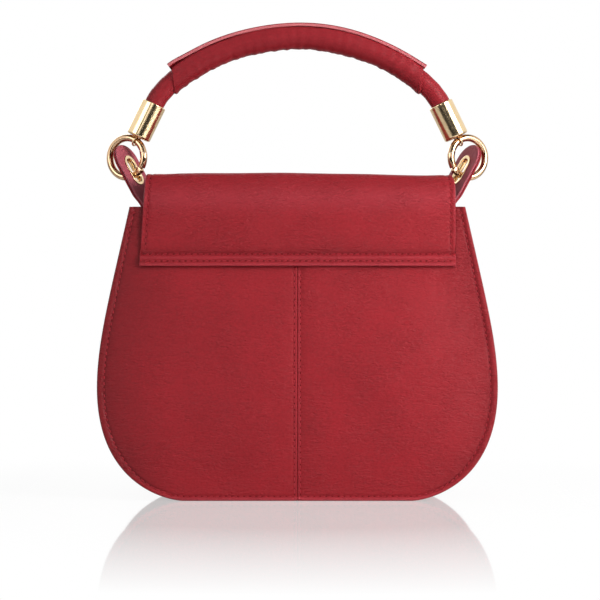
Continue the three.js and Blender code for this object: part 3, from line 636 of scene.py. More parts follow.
def leather(name, base, dark, painted_highlight, roughness=(0.42, 0.58), grain=1.0, wrinkled=0.68):
    """Fine-grained leather: pebbles, short creases, soft changes of tone, and painted shade and painted
    highlight from the tone attribute.
    """
    n = material_nodes(name)
    pebbles = n.cells(0.75, "SMOOTH_F1", Smoothness=0.6)
    creases = n.cells((0.16, 0.16, 0.42), "DISTANCE_TO_EDGE")
    tone = n.add("Attribute", attribute_name="tone").outputs["Fac"]
    shade = n.spread(n.noise(0.035, 3, 0.55), 0.3, 0.7, 0.0, 0.5)
    body = n.mix(shade, base, tuple(0.5 * (a + b) for a, b in zip(base, dark)))
    body = n.mix(n.spread(pebbles, 0.25, 0.75, 0.0, 0.28), body, dark)
    # Tone below 0 mixes in painted shade towards the dark colour; tone above 0 mixes in a painted highlight
    # towards the pale colour.
    body = n.mix(n.spread(tone, 0.0, -1.0), body, dark)
    body = n.mix(n.spread(tone, 0.0, 1.0, 0.0, 0.7), body, painted_highlight)
    soft = n.bump(n.noise(0.11, 3, 0.5), 0.5, 0.5)
    crease = n.bump(n.spread(creases, 0.0, 0.09), 0.07, 0.5 * grain, Normal=soft)
    wrinkles = n.spread(n.noise((0.27, 0.27, 0.8), 3, 0.55, 0.8), 0.25, 0.75)
    patches = n.spread(n.noise(0.06, 2, 0.5), 0.35, 0.65, 0.35, 1.0)
    wrinkle = n.bump(n.math("MULTIPLY", wrinkles, patches), wrinkled, 0.9 * grain, Normal=crease)
    pebble = n.bump(n.math("SUBTRACT", 1.0, pebbles), 0.1, 0.7 * grain, Normal=wrinkle)
    fine = n.bump(n.noise(2.6, 4, 0.6), 0.07, 0.6 * grain, Normal=pebble)
    shine = n.spread(n.noise(0.3, 4, 0.6), 0.3, 0.7, *roughness)
    return n.finish(body, shine, fine, Specular_IOR_Level=0.22, Sheen_Weight=0.03, Sheen_Roughness=0.5,
                    Sheen_Tint=colour(255, 170, 170))


def fibres(name, base, dark, strands, roughness, relief, **plain):
    """Short fibres: strands are the settings of their noise, and relief those of its bump."""
    n = material_nodes(name)
    noise = n.noise(*strands)
    tint = n.mix(n.spread(noise, 0.3, 0.7), base, dark)
    return n.finish(tint, n.spread(noise, 0.3, 0.7, *roughness), n.bump(noise, *relief), **plain)


def cut_edge(name, base, dark):
    """Fibres of a cut or painted leather edge."""
    return fibres(name, base, dark, ((1.6, 1.6, 4.0), 4, 0.6), (0.5, 0.75), (0.12, 0.6))


def thread(name, base, dark):
    """Twisted sewing thread."""
    return fibres(name, base, dark, (3.0, 3, 0.5), (0.45, 0.65), (0.1, 0.5), Specular_IOR_Level=0.15)


def cloth(name, base, dark, threads=2.2):
    """Plain woven cloth with about that many threads in a millimetre."""
    n = material_nodes(name)
    waves = [
        n.add("TexWave", wave_type="BANDS", bands_direction=bands, Scale=1.0, Distortion=0.3,
              Vector=n.coordinates(threads / 2)).outputs["Fac"]
        for bands in ("X", "Z")
    ]
    weave = n.math("MAXIMUM", *waves)
    shade = n.mix(n.spread(n.noise(0.05, 3, 0.5), 0.3, 0.7, 0.0, 0.4), base, dark)
    tint = n.mix(n.spread(weave, 1.0, 0.4, 0.0, 0.6), shade, dark)
    return n.finish(tint, n.spread(weave, 0.4, 1.0, 0.9, 0.7), n.bump(weave, 0.15, 0.6), Sheen_Weight=0.25)


def metal(name, base, tarnish, roughness):
    """Polished plating with faint clouding and hair scratches."""
    n = material_nodes(name)
    cloudy = n.noise(0.22, 4, 0.6)
    tint = n.mix(n.spread(cloudy, 0.35, 0.75, 0.0, 0.35), base, tarnish)
    scratches = n.bump(n.noise((0.3, 0.3, 1.2), 2, 0.5), 0.003, 0.1)
    return n.finish(tint, n.spread(cloudy, 0.3, 0.7, *roughness), scratches, Metallic=1.0)


# The third colour of each leather is the pale tint of its painted highlights.
REDS = (colour(158, 28, 38), colour(112, 16, 24), colour(186, 66, 78))
RED = leather("red_leather", *REDS)
FLAP_RED = leather("red_leather_flap", *REDS, wrinkled=0.8)
SUPPLE = leather("red_leather_supple", colour(154, 28, 38), colour(110, 16, 24), colour(186, 70, 80),
                 grain=0.22)
# Paler red for the tabs' inner faces: its paleness is a painted reflection of the white surroundings, which
# the face catches at a glancing angle.
PALE_SHEEN = leather("red_leather_painted_sheen", colour(176, 84, 96), colour(136, 52, 66), colour(196, 112, 120),
               roughness=(0.5, 0.66), grain=0.4)
PAINT = cut_edge("painted_edge", colour(138, 30, 44), colour(98, 22, 36))
GLUE_LINE = cut_edge("glue_line", colour(122, 14, 30), colour(88, 8, 20))
RAW = cut_edge("raw_edge", colour(216, 118, 123), colour(184, 88, 94))
# Thread colour, lightened past its own tint to carry the highlights on the stitch bumps: partly real colour,
# partly painted highlight.
THREADS = thread("red_thread", colour(174, 48, 58), colour(140, 28, 38))
# Dark discs at the needle holes: painted shade of the holes.
HOLE_SHADE = thread("needle_hole_shade", colour(114, 8, 18), colour(86, 6, 12))
LINING_CLOTH = cloth("lining_cloth", colour(122, 40, 50), colour(84, 22, 30))
TAPE_CLOTH = cloth("seam_tape", colour(150, 60, 66), colour(110, 36, 42), 3.0)
CORD_CLOTH = cloth("cord_cloth", colour(214, 206, 190), colour(176, 166, 148), 3.0)
GOLD = metal("gold_plate", colour(243, 216, 172), colour(222, 186, 136), (0.14, 0.21))
# Darker copy of the gold plating for the rings: painted shade that stands in for the dark reflections along
# the wire.
SHADED_RING_GOLD = metal("ring_gold_painted_shade", colour(214, 180, 144), colour(176, 132, 96), (0.1, 0.18))
STEEL = metal("steel", colour(200, 200, 204), colour(160, 160, 166), (0.2, 0.35))
BOARD = cut_edge("board", colour(150, 140, 126), colour(116, 108, 96))


# Stitches


def stitch_row(name, places, normals, body):
    """Threads along a line on a surface, and dark discs of painted shade at the needle holes."""
    run = run_along(places)
    count = int(run[-1] // STITCH_PITCH)
    pitch = run[-1] / count
    ring = circle(1.0, 6)

    def at(s):
        return read_at(s, run, places), unit(read_at(s, run, normals))

    parts, numbers = [], []
    for i in range(count):
        s = (i + 0.5) * pitch
        spot, up = at(s)
        ahead = unit(at(s + 0.3)[0] - at(s - 0.3)[0])
        across = np.cross(up, ahead)
        lean = 0.12 * math.sin(2.4 * i)
        loops = []
        for t in np.linspace(-1, 1, 7):
            radius = THREAD * math.sqrt(max(1 - t**6, 0.02))
            lift = 0.18 - 0.5 * t**4
            middle = spot + ahead * t * STITCH_LENGTH / 2 + across * (0.16 * t + lean * 0.2) + up * lift
            loops.append([middle + across * a * radius * 1.15 + up * b * radius for a, b in ring])
        parts.append(sweep(loops))
        spot, up = at(s + 0.5 * pitch)
        rim = [spot + ahead * a * HOLE_LENGTH / 2 + across * b * HOLE_WIDTH / 2 + up * 0.02 for a, b in ring]
        hole = [(0, 1 + k, 1 + (k + 1) % 6) for k in range(6)] + [(6, 5, 4, 3, 2, 1)]
        parts.append(([spot + up * 0.1, *rim], hole))
        numbers += [0] * len(parts[-2][1]) + [1] * len(hole)
    obj = make_piece(name, *joined(parts), [THREADS, HOLE_SHADE], body)
    set_face_materials(obj, numbers)


# Panels

PANEL_RINGS = (0.35, 0.8, 1.6, 2.6, 3.4, 3.8, 4.2, 4.6, 5.1, 6.0, 7.5, 9.5, 12.0)
SEAM_LINES = (0.25, 0.6, 1.0, 1.5, 2.0, 2.6, 4.0)


def panel_relief(seamed):
    """Relief of a panel: flat rim, sewn groove, and at the back the turned edges of the centre seam."""
    def relief(flat, depth, along):
        x, z = flat.T
        inset = seam_inset(z)
        inner = smooth(depth - inset, 0, 14)
        height = slump(x, z) * inner + 0.45 * np.sin(np.pi * np.clip(depth / inset, 0, 1))
        height += 1.2 * puckers(depth - inset, along, 0)
        # Painted highlight along the flat rim, strongest towards the base, and painted shade in the sewn
        # groove.
        tone = (0.7 - 0.55 * smooth(z, 2, 26)) * bump(depth, 0.35 * inset, 0.9)
        tone -= 0.3 * bump(depth, inset + 0.3, 0.6)
        # Painted shade on the panel sides, darker on the left, away from the key light, fading inwards from
        # the edge seam.
        side_shade = np.where(x < 0, 0.75, 0.42) * smooth(np.abs(x), 66, 100)
        tone -= side_shade * np.exp(-np.maximum(depth - inset, 0) / 14)
        if seamed:
            off = np.abs(x) - SEAM_HALF
            height += -0.38 * bump(off, 0, 0.4) + 0.25 * bump(off, 0.9, 0.6)
            height += 0.9 * puckers(off, z, SEAM_STITCH) - 0.5 * bump(off, 0, 6.0) * inner
            # Painted shadow on the back panels just below the flap's lower edge.
            tone -= 0.5 * smooth(z, FLAP_LOW - 3.5, FLAP_LOW) * smooth(np.abs(x), 98, 94)
            # Painted shade in the centre seam's groove and painted highlight on the turned edges beside it.
            tone += -0.25 * bump(off, 0, 0.4) + 0.3 * bump(off, 0.9, 0.5)
        return height, tone
    return relief


def seam_row(edge):
    """Line of the edge seam inside an outline, below the top."""
    row = resample(edge - line_normals(edge) * seam_inset(edge[:, 1])[:, None], ROW_STEP)
    return row[row[:, 1] < PANEL_TOP - 1]


def back_panels():
    edge = RIGHT_EDGE[RIGHT_EDGE[:, 0] > SEAM_HALF + 0.4]
    edge = np.vstack([edge, [(SEAM_HALF, 0)]])
    seam = np.array([(SEAM_HALF, z) for z in np.linspace(0, PANEL_TOP, 140)])
    top = np.array([(x, PANEL_TOP) for x in np.arange(TOP_STEP, PANEL_TOP_HALF - 1, TOP_STEP)])
    outline = np.vstack([edge[::-1], top[::-1], seam[::-1]])[:-1]
    edge_row = seam_row(edge)
    edge_row = edge_row[edge_row[:, 0] > SEAM_STITCH + 1]
    heights = np.arange(FLAP_LOW - 2, seam_inset(0) + 1, -ROW_STEP)
    middle_row = np.array([(SEAM_HALF + SEAM_STITCH, z) for z in heights])
    for side, sign in SIDES.items():
        turn = np.array([sign, 1.0])
        sheet = Sheet(
            outline * turn, panel_place(-1), panel_relief(True), LEATHER, 1, edge=edge * turn,
            rings=PANEL_RINGS, lines=[(seam + [d, 0]) * turn for d in SEAM_LINES],
        )
        sheet.make(f"back_leather_{side}", [RED, PAINT], "bag", replaces=[f"back_panel_{side}"])
        stitch_row(f"back_edge_stitches_{side}", *sheet.on(edge_row * turn), "bag")
        stitch_row(f"back_seam_stitches_{side}", *sheet.on(middle_row * turn), "bag")


def front_panel():
    top = [(x, PANEL_TOP) for x in np.arange(-PANEL_TOP_HALF + TOP_STEP, PANEL_TOP_HALF - 1, TOP_STEP)]
    outline = np.vstack([WHOLE_EDGE, top])
    sheet = Sheet(outline, panel_place(1), panel_relief(False), LEATHER, -1, edge=WHOLE_EDGE,
                  rings=PANEL_RINGS)
    sheet.make("front_leather", [RED, PAINT], "bag", replaces=["front_panel"])
    stitch_row("front_edge_stitches", *sheet.on(seam_row(WHOLE_EDGE)), "bag")


# Gusset, lining and seam tape


def inset_edge(top, inset):
    """The outline below a height, moved in, from the right top round to the left top."""
    start = np.array([(half_width(top), top)])
    edge = np.vstack([start, WHOLE_EDGE[WHOLE_EDGE[:, 1] < top - 0.8], start * MIRROR])
    return edge - line_normals(edge) * inset


def band(section):
    """A band round the bag: each corner of its section has an inset, a face and a depth from it."""
    corners = []
    for inset, face, depth in section:
        x, z = inset_edge(PANEL_TOP - GUSSET_DROP, inset).T
        corners.append(np.c_[x, MID_Y + face * (half_depth(z) - depth), z])
    return sweep(np.stack(corners, axis=1))


def fillet(corner, before, after, radius):
    """Points of a rounded corner between two directions."""
    corner, before, after = (np.array(v, float) for v in (corner, before, after))
    return rounded(corner - before * radius, corner, corner + after * radius, 4).tolist()


def gusset():
    """The leather band between the panels, with lips turned out along both."""
    outer = LEATHER + FIT
    under = outer + GUSSET_LIP
    wall = FLANGE + GUSSET_WALL
    rows = (12, 20, 26)  # depths of the rows across the wall, all short of its middle
    line = [(LIP_MARGIN, outer), *fillet((wall, outer), (1, 0), (0, 1), GUSSET_ROUND)]
    line += [(wall, d) for d in rows]
    inner = [*((FLANGE, d) for d in rows[::-1]), *fillet((FLANGE, under), (0, -1), (-1, 0), LIP_ROUND)]
    inner += [(LIP_MARGIN, under), (0.0, outer + GUSSET_LIP / 2)]
    section = [
        (inset, face, depth)
        for face, half in ((-1, line), (1, line[::-1]), (1, inner[::-1]), (-1, inner))
        for inset, depth in half
    ]
    set_tone(make_solid("gusset_leather", band(section), RED, "bag", replaces=["gusset"], sharp=50))


def lining():
    inner = inset_edge(PANEL_TOP, LINING_INSET)
    for side, face in (("back", -1), ("front", 1)):
        place = panel_place(face, LINING_DEPTH + LINING_SLACK)
        sheet = Sheet(inner, place, plain_relief, LINING, face, gap=6.0, rings=(1.5, 3.5))
        sheet.make(f"lining_cloth_{side}", LINING_CLOTH, "bag", replaces=[f"lining_{side}"], slot="lining")
    depth = LINING_DEPTH + LINING + FIT
    corners = ((0, -1), (LINING, -1), (LINING, 1), (0, 1))
    section = [(LINING_INSET + deeper, face, depth) for deeper, face in corners]
    make_solid("lining_cloth_gusset", band(section), LINING_CLOTH, "bag", replaces=["lining_gusset"],
               slot="lining")


def seam_tape():
    (left, _, low), (right, _, high) = node_box("back_seam_tape")
    outline = resample(closed([(left, low), (right, low), (right, high), (left, high)]), 4.0)[:-1]
    sheet = Sheet(outline, panel_place(-1, LEATHER + FIT + TAPE_SLACK), plain_relief, TAPE, 1, gap=4.0)
    sheet.make("seam_tape_cloth", TAPE_CLOTH, "bag", replaces=["back_seam_tape"], slot="lining")


# Flap

FLAP_BACK_Y = half_depth(PANEL_TOP) + FIT + LEATHER
FLAP_FRONT_Y = half_depth(PANEL_TOP) + FLAP_STANDOFF
TURN_RISE = FLAP_TOP - PANEL_TOP
FLAP_RINGS = (0.3, 0.7, 1.3, 2.0, 2.6, 3.0, 3.4, 4.0, 5.0, 6.2, 7.2, 8.2, 9.5, 11.5)


def flap_profile():
    """The flap's line from its sewn lower edge over the top and down the front, as depth and height."""
    turn = np.linspace(0, np.pi / 2, 24)
    back_z = np.linspace(FLAP_LOW, PANEL_TOP, 24)
    back = np.c_[-(half_depth(back_z) + FIT + LEATHER), back_z]
    over_y = FLAP_BEND - FLAP_BACK_Y
    back_turn = np.c_[over_y - FLAP_BEND * np.cos(turn), PANEL_TOP + TURN_RISE * np.sin(turn)]
    front_y = FLAP_FRONT_Y - FLAP_BEND
    level = np.array([(y, FLAP_TOP) for y in np.linspace(over_y, front_y, 24)])
    front_turn = np.c_[front_y + FLAP_BEND * np.sin(turn), PANEL_TOP + TURN_RISE * np.cos(turn)]
    front_z = np.linspace(PANEL_TOP, FLAP_END - 6, 60)
    front = np.c_[half_depth(front_z) + FLAP_STANDOFF, front_z]
    return np.vstack([back, back_turn[1:], level[1:], front_turn[1:], front[1:]])


FLAP_LINE = flap_profile()
FLAP_RUN = run_along(FLAP_LINE)


def level_s(y):
    """Place along the flap's line at a depth of its level part."""
    level = np.isclose(FLAP_LINE[:, 1], FLAP_TOP)
    return float(np.interp(y, FLAP_LINE[level, 0], FLAP_RUN[level]))


def front_s(z):
    """Place along the flap's line at a height of its front."""
    front = FLAP_RUN > MID_S
    return float(np.interp(-z, -FLAP_LINE[front, 1], FLAP_RUN[front]))


TOP_S = level_s(FLAP_BEND - FLAP_BACK_Y)  # where the back turn ends
MID_S = level_s(0)
FRONT_S = level_s(FLAP_FRONT_Y - FLAP_BEND)
END_S = front_s(FLAP_END)


def flap_face(flat):
    """Puts flat points (across, along) of the flap in space."""
    x, s = flat.T
    y, z = read_at(s, FLAP_RUN, FLAP_LINE).T
    front = smooth(y, -10, 10)
    out = swell(x, z) * (FLAP_SWELL * front - SWELL[-1] * (1 - front))
    wave = -smooth(z, PANEL_TOP, FLAP_TOP) * (1.2 * smooth(x, 12, 62) + 0.5 * smooth(-x, 70, 88))
    return np.c_[x, MID_Y + y + out, z + wave]


def flap_inside(flat):
    """Puts flat points on the inner face of the flap's leather."""
    return flap_face(flat) - surface_normals(flap_face, flat) * (FLAP_LEATHER + FIT)


def flap_side(sign):
    """The flap's side edge from the sewn lower edge to the middle of the top."""
    corner = (FLAP_CORNER_HALF[sign], TOP_S - FLAP_CORNER_DROP[sign])
    waist = FLAP_WAIST_HALF
    curve = bezier(corner, (corner[0], TOP_S + 2), (waist, TOP_S + 6), (waist, MID_S), 24)
    return np.vstack([(FLAP_LOW_HALF[sign], 0.0), curve]) * [sign, 1]


def flap_front_side():
    """The right edge from the middle of the top down the front and round to the lower middle."""
    round_s = front_s(FLAP_END + FLAP_ROUND)
    upper = bezier((FLAP_WAIST_HALF, MID_S), (FLAP_WAIST_HALF, FRONT_S - 4), (FLAP_SHOULDER_HALF, FRONT_S),
                   (FLAP_FRONT_HALF, round_s), 40)
    turn = np.linspace(0, np.pi / 2, 50)[1:]
    lower = np.c_[FLAP_FRONT_HALF * np.cos(turn) ** 0.85, round_s + (END_S - round_s) * np.sin(turn)]
    return np.vstack([upper, lower])


def blend_at(obj):
    """Bakes a piece's placement into its mesh."""
    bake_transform(obj)


def flap_sheet(edge, relief):
    """Half of the flap's leather: an edge, joined up along the middle of the top."""
    top = resample(edge[[-1, 0]], TOP_STEP)[1:-1]
    return Sheet(np.vstack([edge, top]), flap_face, relief, FLAP_LEATHER, 1, edge=edge, rings=FLAP_RINGS)


def flap_back_relief(flat, depth, along):
    """Hem, stitch rows and soft hang of the flap's sewn part."""
    x, s = flat.T
    top_row = HEM_ROWS[1]
    side = np.minimum(*(nearest(flat, flap_side(k))[0] for k in (-1, 1)))
    height = 0.55 * smooth(s, top_row + 0.6, top_row - 0.6)
    height -= 1.6 * smooth(s, top_row - 0.3, top_row + 0.4) * np.exp(-(s - top_row) / 5.0)
    # Painted shade in the hollow just above the top hem row, and along each hem row.
    tone = -0.7 * smooth(s, top_row, top_row + 0.5) * np.exp(-(s - top_row) / 3.0)
    for row in HEM_ROWS:
        height += puckers(s, x, row)
        tone -= 0.45 * bump(s, row, 0.5)
    # Painted highlight on the raised hem between the rows and on the lip of the lower edge.
    tone += 0.3 * bump(s, sum(HEM_ROWS) / 2, 0.9) + 0.35 * bump(s, 1.0, 0.8)
    sewn = smooth(s, top_row, top_row + 4)
    height += puckers(side, s, FLAP_STITCH) * sewn
    # Painted shade along the side stitch rows and painted highlight along the edge.
    tone += -0.4 * bump(side, FLAP_STITCH, 0.6) * sewn + 0.3 * bump(depth, 0.4, 0.6)
    hang = smooth(s, 10, 22) * smooth(side, 4, 14) * smooth(s, MID_S, MID_S - 16)
    height += 0.8 * slump(1.3 * x, s + 40) * hang
    # Painted highlight: the band where the flap starts to turn over the top.
    tone += 0.35 * bump(s, FLAP_LAP + 5, 7)
    return height, tone


def flap_back():
    lines = {side: flap_side(sign) for side, sign in SIDES.items()}
    left, right = lines.values()
    edge = resample(np.vstack([left[::-1], left[:1], right[:1], right]), EDGE_STEP)
    sheet = flap_sheet(edge, flap_back_relief)
    obj = sheet.make("flap_leather_back", [FLAP_RED, PAINT], None, replaces=["flap_back"])
    blend_at(obj)
    half = FLAP_LOW_HALF[-1] - FLAP_STITCH
    for s in HEM_ROWS:
        row = np.array([(x, s) for x in np.arange(-half, half, ROW_STEP)])
        stitch_row(f"flap_hem_stitches_{int(s)}", *sheet.on(row), "bag")
    for side, line in lines.items():
        fine = resample(line, ROW_STEP)
        row = fine + line_normals(fine) * FLAP_STITCH * SIDES[side]
        row = row[(row[:, 1] > HEM_ROWS[1] + 2) & (row[:, 1] < TOP_S - 6)]
        stitch_row(f"flap_side_stitches_{side}", *sheet.on(row), "bag")


def flap_front_relief(flat, depth, along):
    x, s = flat.T
    height = puckers(depth, along, FLAP_STITCH) * smooth(s, FRONT_S + FLAP_FREE - 6, FRONT_S + FLAP_FREE)
    height += 0.6 * slump(x, s) * smooth(depth, 4, 16) * smooth(s, MID_S, MID_S + 16)
    # Painted shade along the stitch row and painted highlight along the edge.
    tone = -0.45 * bump(depth, FLAP_STITCH, 0.6) + 0.3 * bump(depth, 0.4, 0.6)
    return height, tone


def flap_front():
    """The flap's level part and hanging front in one leather, and the cloth below both."""
    right = flap_front_side()
    edge = resample(np.vstack([right, (right * MIRROR)[-2::-1]]), EDGE_STEP)
    sheet = flap_sheet(edge, flap_front_relief)
    face = sheet.make("flap_leather_front", [FLAP_RED, PAINT], None, replaces=["flap_bridge", "flap_front"])
    row = resample(edge + line_normals(edge) * FLAP_STITCH, ROW_STEP)
    row = row[row[:, 1] > FRONT_S + FLAP_FREE]
    stitch_row("flap_front_stitches", *sheet.on(row), "flap_front")
    inner = edge + line_normals(edge) * FLAP_LINING_INSET
    ends = [(x, MID_S - FLAP_LINING_START) for x in (inner[-1, 0], inner[0, 0])]
    outline = resample(closed(np.vstack([inner, ends])), TOP_STEP)[:-1]
    sheet = Sheet(outline, flap_inside, plain_relief, LINING, 1, gap=5.0, rings=(1.5, 3.5))
    cloth_piece = sheet.make("flap_lining_cloth", LINING_CLOTH, None,
                             replaces=["flap_bridge_lining", "flap_front_lining"], slot="lining")
    for obj in (face, cloth_piece):
        blend_at(obj)


# Tabs and eyelets


def tab_stations():
    """Places along the right tab with its direction and turn, by distance from its foot."""
    lean = math.hypot(1, SIDE_LEAN)

    def wall(z):
        return np.array([half_width(z) - SIDE_LEAN * max(z - PANEL_TOP, 0) - TAB_INSET * lean, 0, z])

    corner = wall(TAB_BEND_Z)
    up = np.array([-SIDE_LEAN, 0, 1]) / lean
    out = np.array([math.sin(TAB_LEAN), 0, math.cos(TAB_LEAN)])
    start, end = corner - up * TAB_BEND_REACH, corner + out * TAB_BEND_REACH
    t = np.linspace(0, 1, 25)[:, None]
    crossing = corner + out * TAB_RISE
    tip = crossing + out * (TAB_TIP + 2)
    line = np.vstack([wall(TAB_FOOT), rounded(start, corner, end, 24), crossing, tip])
    line[:, 1] = SLOT_PLACE[1]
    turn = np.concatenate([[0], TAB_TWIST * smooth(t[:, 0], 0, 1), [TAB_TWIST] * 2])
    ways = np.vstack([up, 2 * (1 - t) * (corner - start) + 2 * t * (end - corner), out, out])
    return run_along(line), line, unit(ways), turn


TAB_RUN, TAB_LINE, TAB_WAYS, TAB_TURN = tab_stations()
TAB_CROSSING_S = TAB_RUN[-2]
DEPTHWAYS = np.array([0.0, 1.0, 0.0])


def tab_place(height, sign):
    """Puts flat points (across to the back edge, along) of a tab in space, at a height over its middle."""
    def place(flat):
        v, s = flat.T
        along = read_at(s, TAB_RUN, TAB_WAYS)
        turn = np.interp(s, TAB_RUN, TAB_TURN)[:, None]
        level = np.c_[along[:, 2], np.zeros(len(s)), -along[:, 0]]
        across = level * np.sin(turn) - DEPTHWAYS * np.cos(turn)
        out = level * np.cos(turn) + DEPTHWAYS * np.sin(turn)
        return mirror_x(read_at(s, TAB_RUN, TAB_LINE) + across * v[:, None] + out * height, sign)
    return place


def slot_line(grow, count=14):
    """The slot's outline in the tab's flat, grown by a margin."""
    radius = SLOT_WIDTH / 2 + grow
    reach = (SLOT_LENGTH - SLOT_WIDTH) / 2
    turn = np.linspace(0, np.pi, count)
    upper = np.c_[radius * np.cos(turn), reach + radius * np.sin(turn)]
    return np.vstack([upper, -upper]) + [0, SLOT_OFFSET + TAB_CROSSING_S]


def tab_outline():
    tip_s = TAB_CROSSING_S + TAB_TIP
    turn = np.linspace(0, np.pi, 40)
    tip = np.c_[TAB_HALF * np.cos(turn), tip_s - TAB_ROUND + TAB_ROUND * np.sin(turn)]
    return resample(closed(np.vstack([[(TAB_HALF, 0)], tip, [(-TAB_HALF, 0)]])), 1.0)[:-1]


def tab_relief(flat, depth, along):
    # Painted highlight along the edge; darker in a ring round the eyelet.
    tone = 0.25 * bump(depth, 0.5, 0.6) - 0.3 * bump(nearest(flat, slot_line(2.6))[0], 0, 0.8)
    return -0.1 * bump(depth, 0, 1.0), tone


def tabs():
    """Two leather layers for each tab, the glue between them and the slot's metal."""
    outline = tab_outline()
    hole = slot_line(EYELET_WALL + FIT)
    core = outline * [0.955, 1 - 0.5 / outline[:, 1].max()]  # the glue stops short of the edge
    for side, sign in SIDES.items():
        for layer, way, face in (("outer", -1, RED), ("inner", 1, PALE_SHEEN)):
            place = tab_place(-way * (GLUE / 2 + TAB_LAYER), sign)
            sheet = Sheet(outline, place, tab_relief, TAB_LAYER, way * sign, rings=(0.3, 0.7, 1.2, 2.0),
                          holes=[hole], gap=2.0)
            sheet.make(f"tab_leather_{layer}_{side}", [face, PAINT], "bag", replaces=[f"tab_{layer}_{side}"])
        sheet = Sheet(core, tab_place(GLUE / 2, sign), tab_relief, GLUE, -sign, holes=[hole])
        sheet.make(f"tab_glue_{side}", GLUE_LINE, "bag")
        eyelet(side, sign)


def eyelet(side, sign):
    """Rolled metal lining of a slot, closing in to a neck that holds the ring."""
    face = GLUE / 2 + TAB_LAYER + EYELET_LIFT
    lip = face + EYELET_PLATE
    rim = EYELET_WALL + EYELET_BRIM - EYELET_ROUND
    turn = np.linspace(0, np.pi / 2, 7)
    neck = [(-EYELET_WAIST * math.cos(t), lip * math.sin(t)) for t in turn]
    rise = EYELET_PLATE - EYELET_ROUND
    edge = [(rim + EYELET_ROUND * math.sin(t), face + EYELET_ROUND + rise * math.cos(t)) for t in turn]
    upper = [*neck, *edge, (rim + 0.1, face), (EYELET_WALL, face)]
    lower = [(grow, -height) for grow, height in upper[::-1]]
    loops = [tab_place(height, sign)(slot_line(grow, 18)) for grow, height in upper + lower]
    solid = sweep(loops, comes_round=True)
    make_metal(f"eyelet_metal_{side}", solid, GOLD, "bag", f"eyelet_{side}", sharp=50)


# Rings

RING_OUT = np.array([math.cos(TAB_TWIST), math.sin(TAB_TWIST), 0])
RING_UP = np.array([0.0, 0, 1])
RING_SQUARE = np.cross(RING_OUT, RING_UP)


def ring_way(turn):
    """Direction from a ring's middle at an angle in its plane."""
    return RING_OUT * math.cos(turn) + RING_UP * math.sin(turn)


RING_CENTRE = TAB_LINE[-2] - RING_RADIUS * ring_way(RING_CROSSING)
EYE_CENTRE = RING_CENTRE + RING_RADIUS * ring_way(RING_EYE)


def wire_loop(turn):
    """The wire's section at an angle of the ring."""
    way = ring_way(turn)
    middle = RING_CENTRE + RING_RADIUS * way
    return np.array([middle + way * a + RING_SQUARE * b for a, b in circle(WIRE, 28)])


def rings():
    """Each ring's wire, its gate with a slanted seat, and the gate's knuckle and pin."""
    reach = KNUCKLE / RING_RADIUS
    clear = WIRE * math.tan(GATE_SLANT) / RING_RADIUS + 0.06
    along = GATE_START + math.pi / 2
    way, normal = ring_way(along), ring_way(along + GATE_SLANT)
    seat = RING_CENTRE + RING_RADIUS * ring_way(GATE_START)
    pin = RING_CENTRE + RING_RADIUS * ring_way(GATE_HINGE)
    seat_loop = wire_loop(GATE_START)

    def slanted(gap):
        """The section at the seat, moved along the wire until it lies on a slanted plane."""
        offset = (seat + normal * gap - seat_loop) @ normal / (way @ normal)
        return seat_loop + way * offset[:, None]

    ring_turns = np.linspace(GATE_HINGE + 0.35 * reach, GATE_START + 2 * math.pi - clear, 110)
    gate_turns = np.linspace(GATE_START + clear, GATE_HINGE - 1.25 * reach, 26)
    wires = {
        "ring": sweep([*map(wire_loop, ring_turns), slanted(-GATE_GAP / 2)]),
        "gate": sweep([slanted(GATE_GAP / 2), *map(wire_loop, gate_turns)]),
        "knuckle": lathe(barrel(KNUCKLE, BARREL_HALF, 0.5), pin, RING_SQUARE, 40),
        "pin": lathe(barrel(PIN, BARREL_HALF + 0.18, 0.15), pin, RING_SQUARE, 40),
    }
    for side, sign in SIDES.items():
        for key, name, body, node in (
            ("ring", "ring_wire", "rings", f"ring_{side}"),
            ("gate", "gate_wire", f"{side}_gate", f"gate_{side}"),
            ("knuckle", "gate_knuckle", "rings", None),
            ("pin", "gate_pin_head", "rings", f"gate_pin_{side}"),
        ):
            points, faces = wires[key]
            make_metal(f"{name}_{side}", (mirror_x(points, sign), faces), SHADED_RING_GOLD, body, node)


# Handle

HANDLE_UP = np.array([-math.sin(FERRULE_LEAN), 0, math.cos(FERRULE_LEAN)])
RIM = EYE_CENTRE + HANDLE_UP * EYE_DROP


def handle_line():
    """The handle's middle line from the left ferrule over the top to the right one."""
    end = RIM + HANDLE_UP * FERRULE_LENGTH
    inside_end = RIM + HANDLE_UP * HANDLE_SEAT
    top = np.array([0, end[1], end[2] + ARCH_RISE])
    level = top + [ARCH_PULL_TOP, 0, 0]
    half = np.vstack([[inside_end], bezier(end, end + HANDLE_UP * ARCH_PULL_END, level, top, 120)])
    return resample(np.vstack([mirror_x(half, -1), half[-2::-1]]), 0.8)


def outer_sides(line):
    """Directions to the outer side of a line in the handle's plane."""
    ways = unit(np.gradient(line, axis=0))
    return np.c_[-ways[:, 2], np.zeros(len(line)), ways[:, 0]]


HANDLE_LINE = handle_line()


def round_loop(at, out, radius, turn):
    """Points round a place of the handle's line, at angles from its outer side."""
    return at + (radius * np.cos(turn))[:, None] * out + (radius * np.sin(turn))[:, None] * DEPTHWAYS


def tube(line, radius_at, sides):
    """A tube whose radius depends on the place along it and round it."""
    turn = turns(sides)
    rows = zip(line, outer_sides(line), run_along(line))
    return sweep([round_loop(at, out, radius_at(s, turn), turn) for at, out, s in rows])


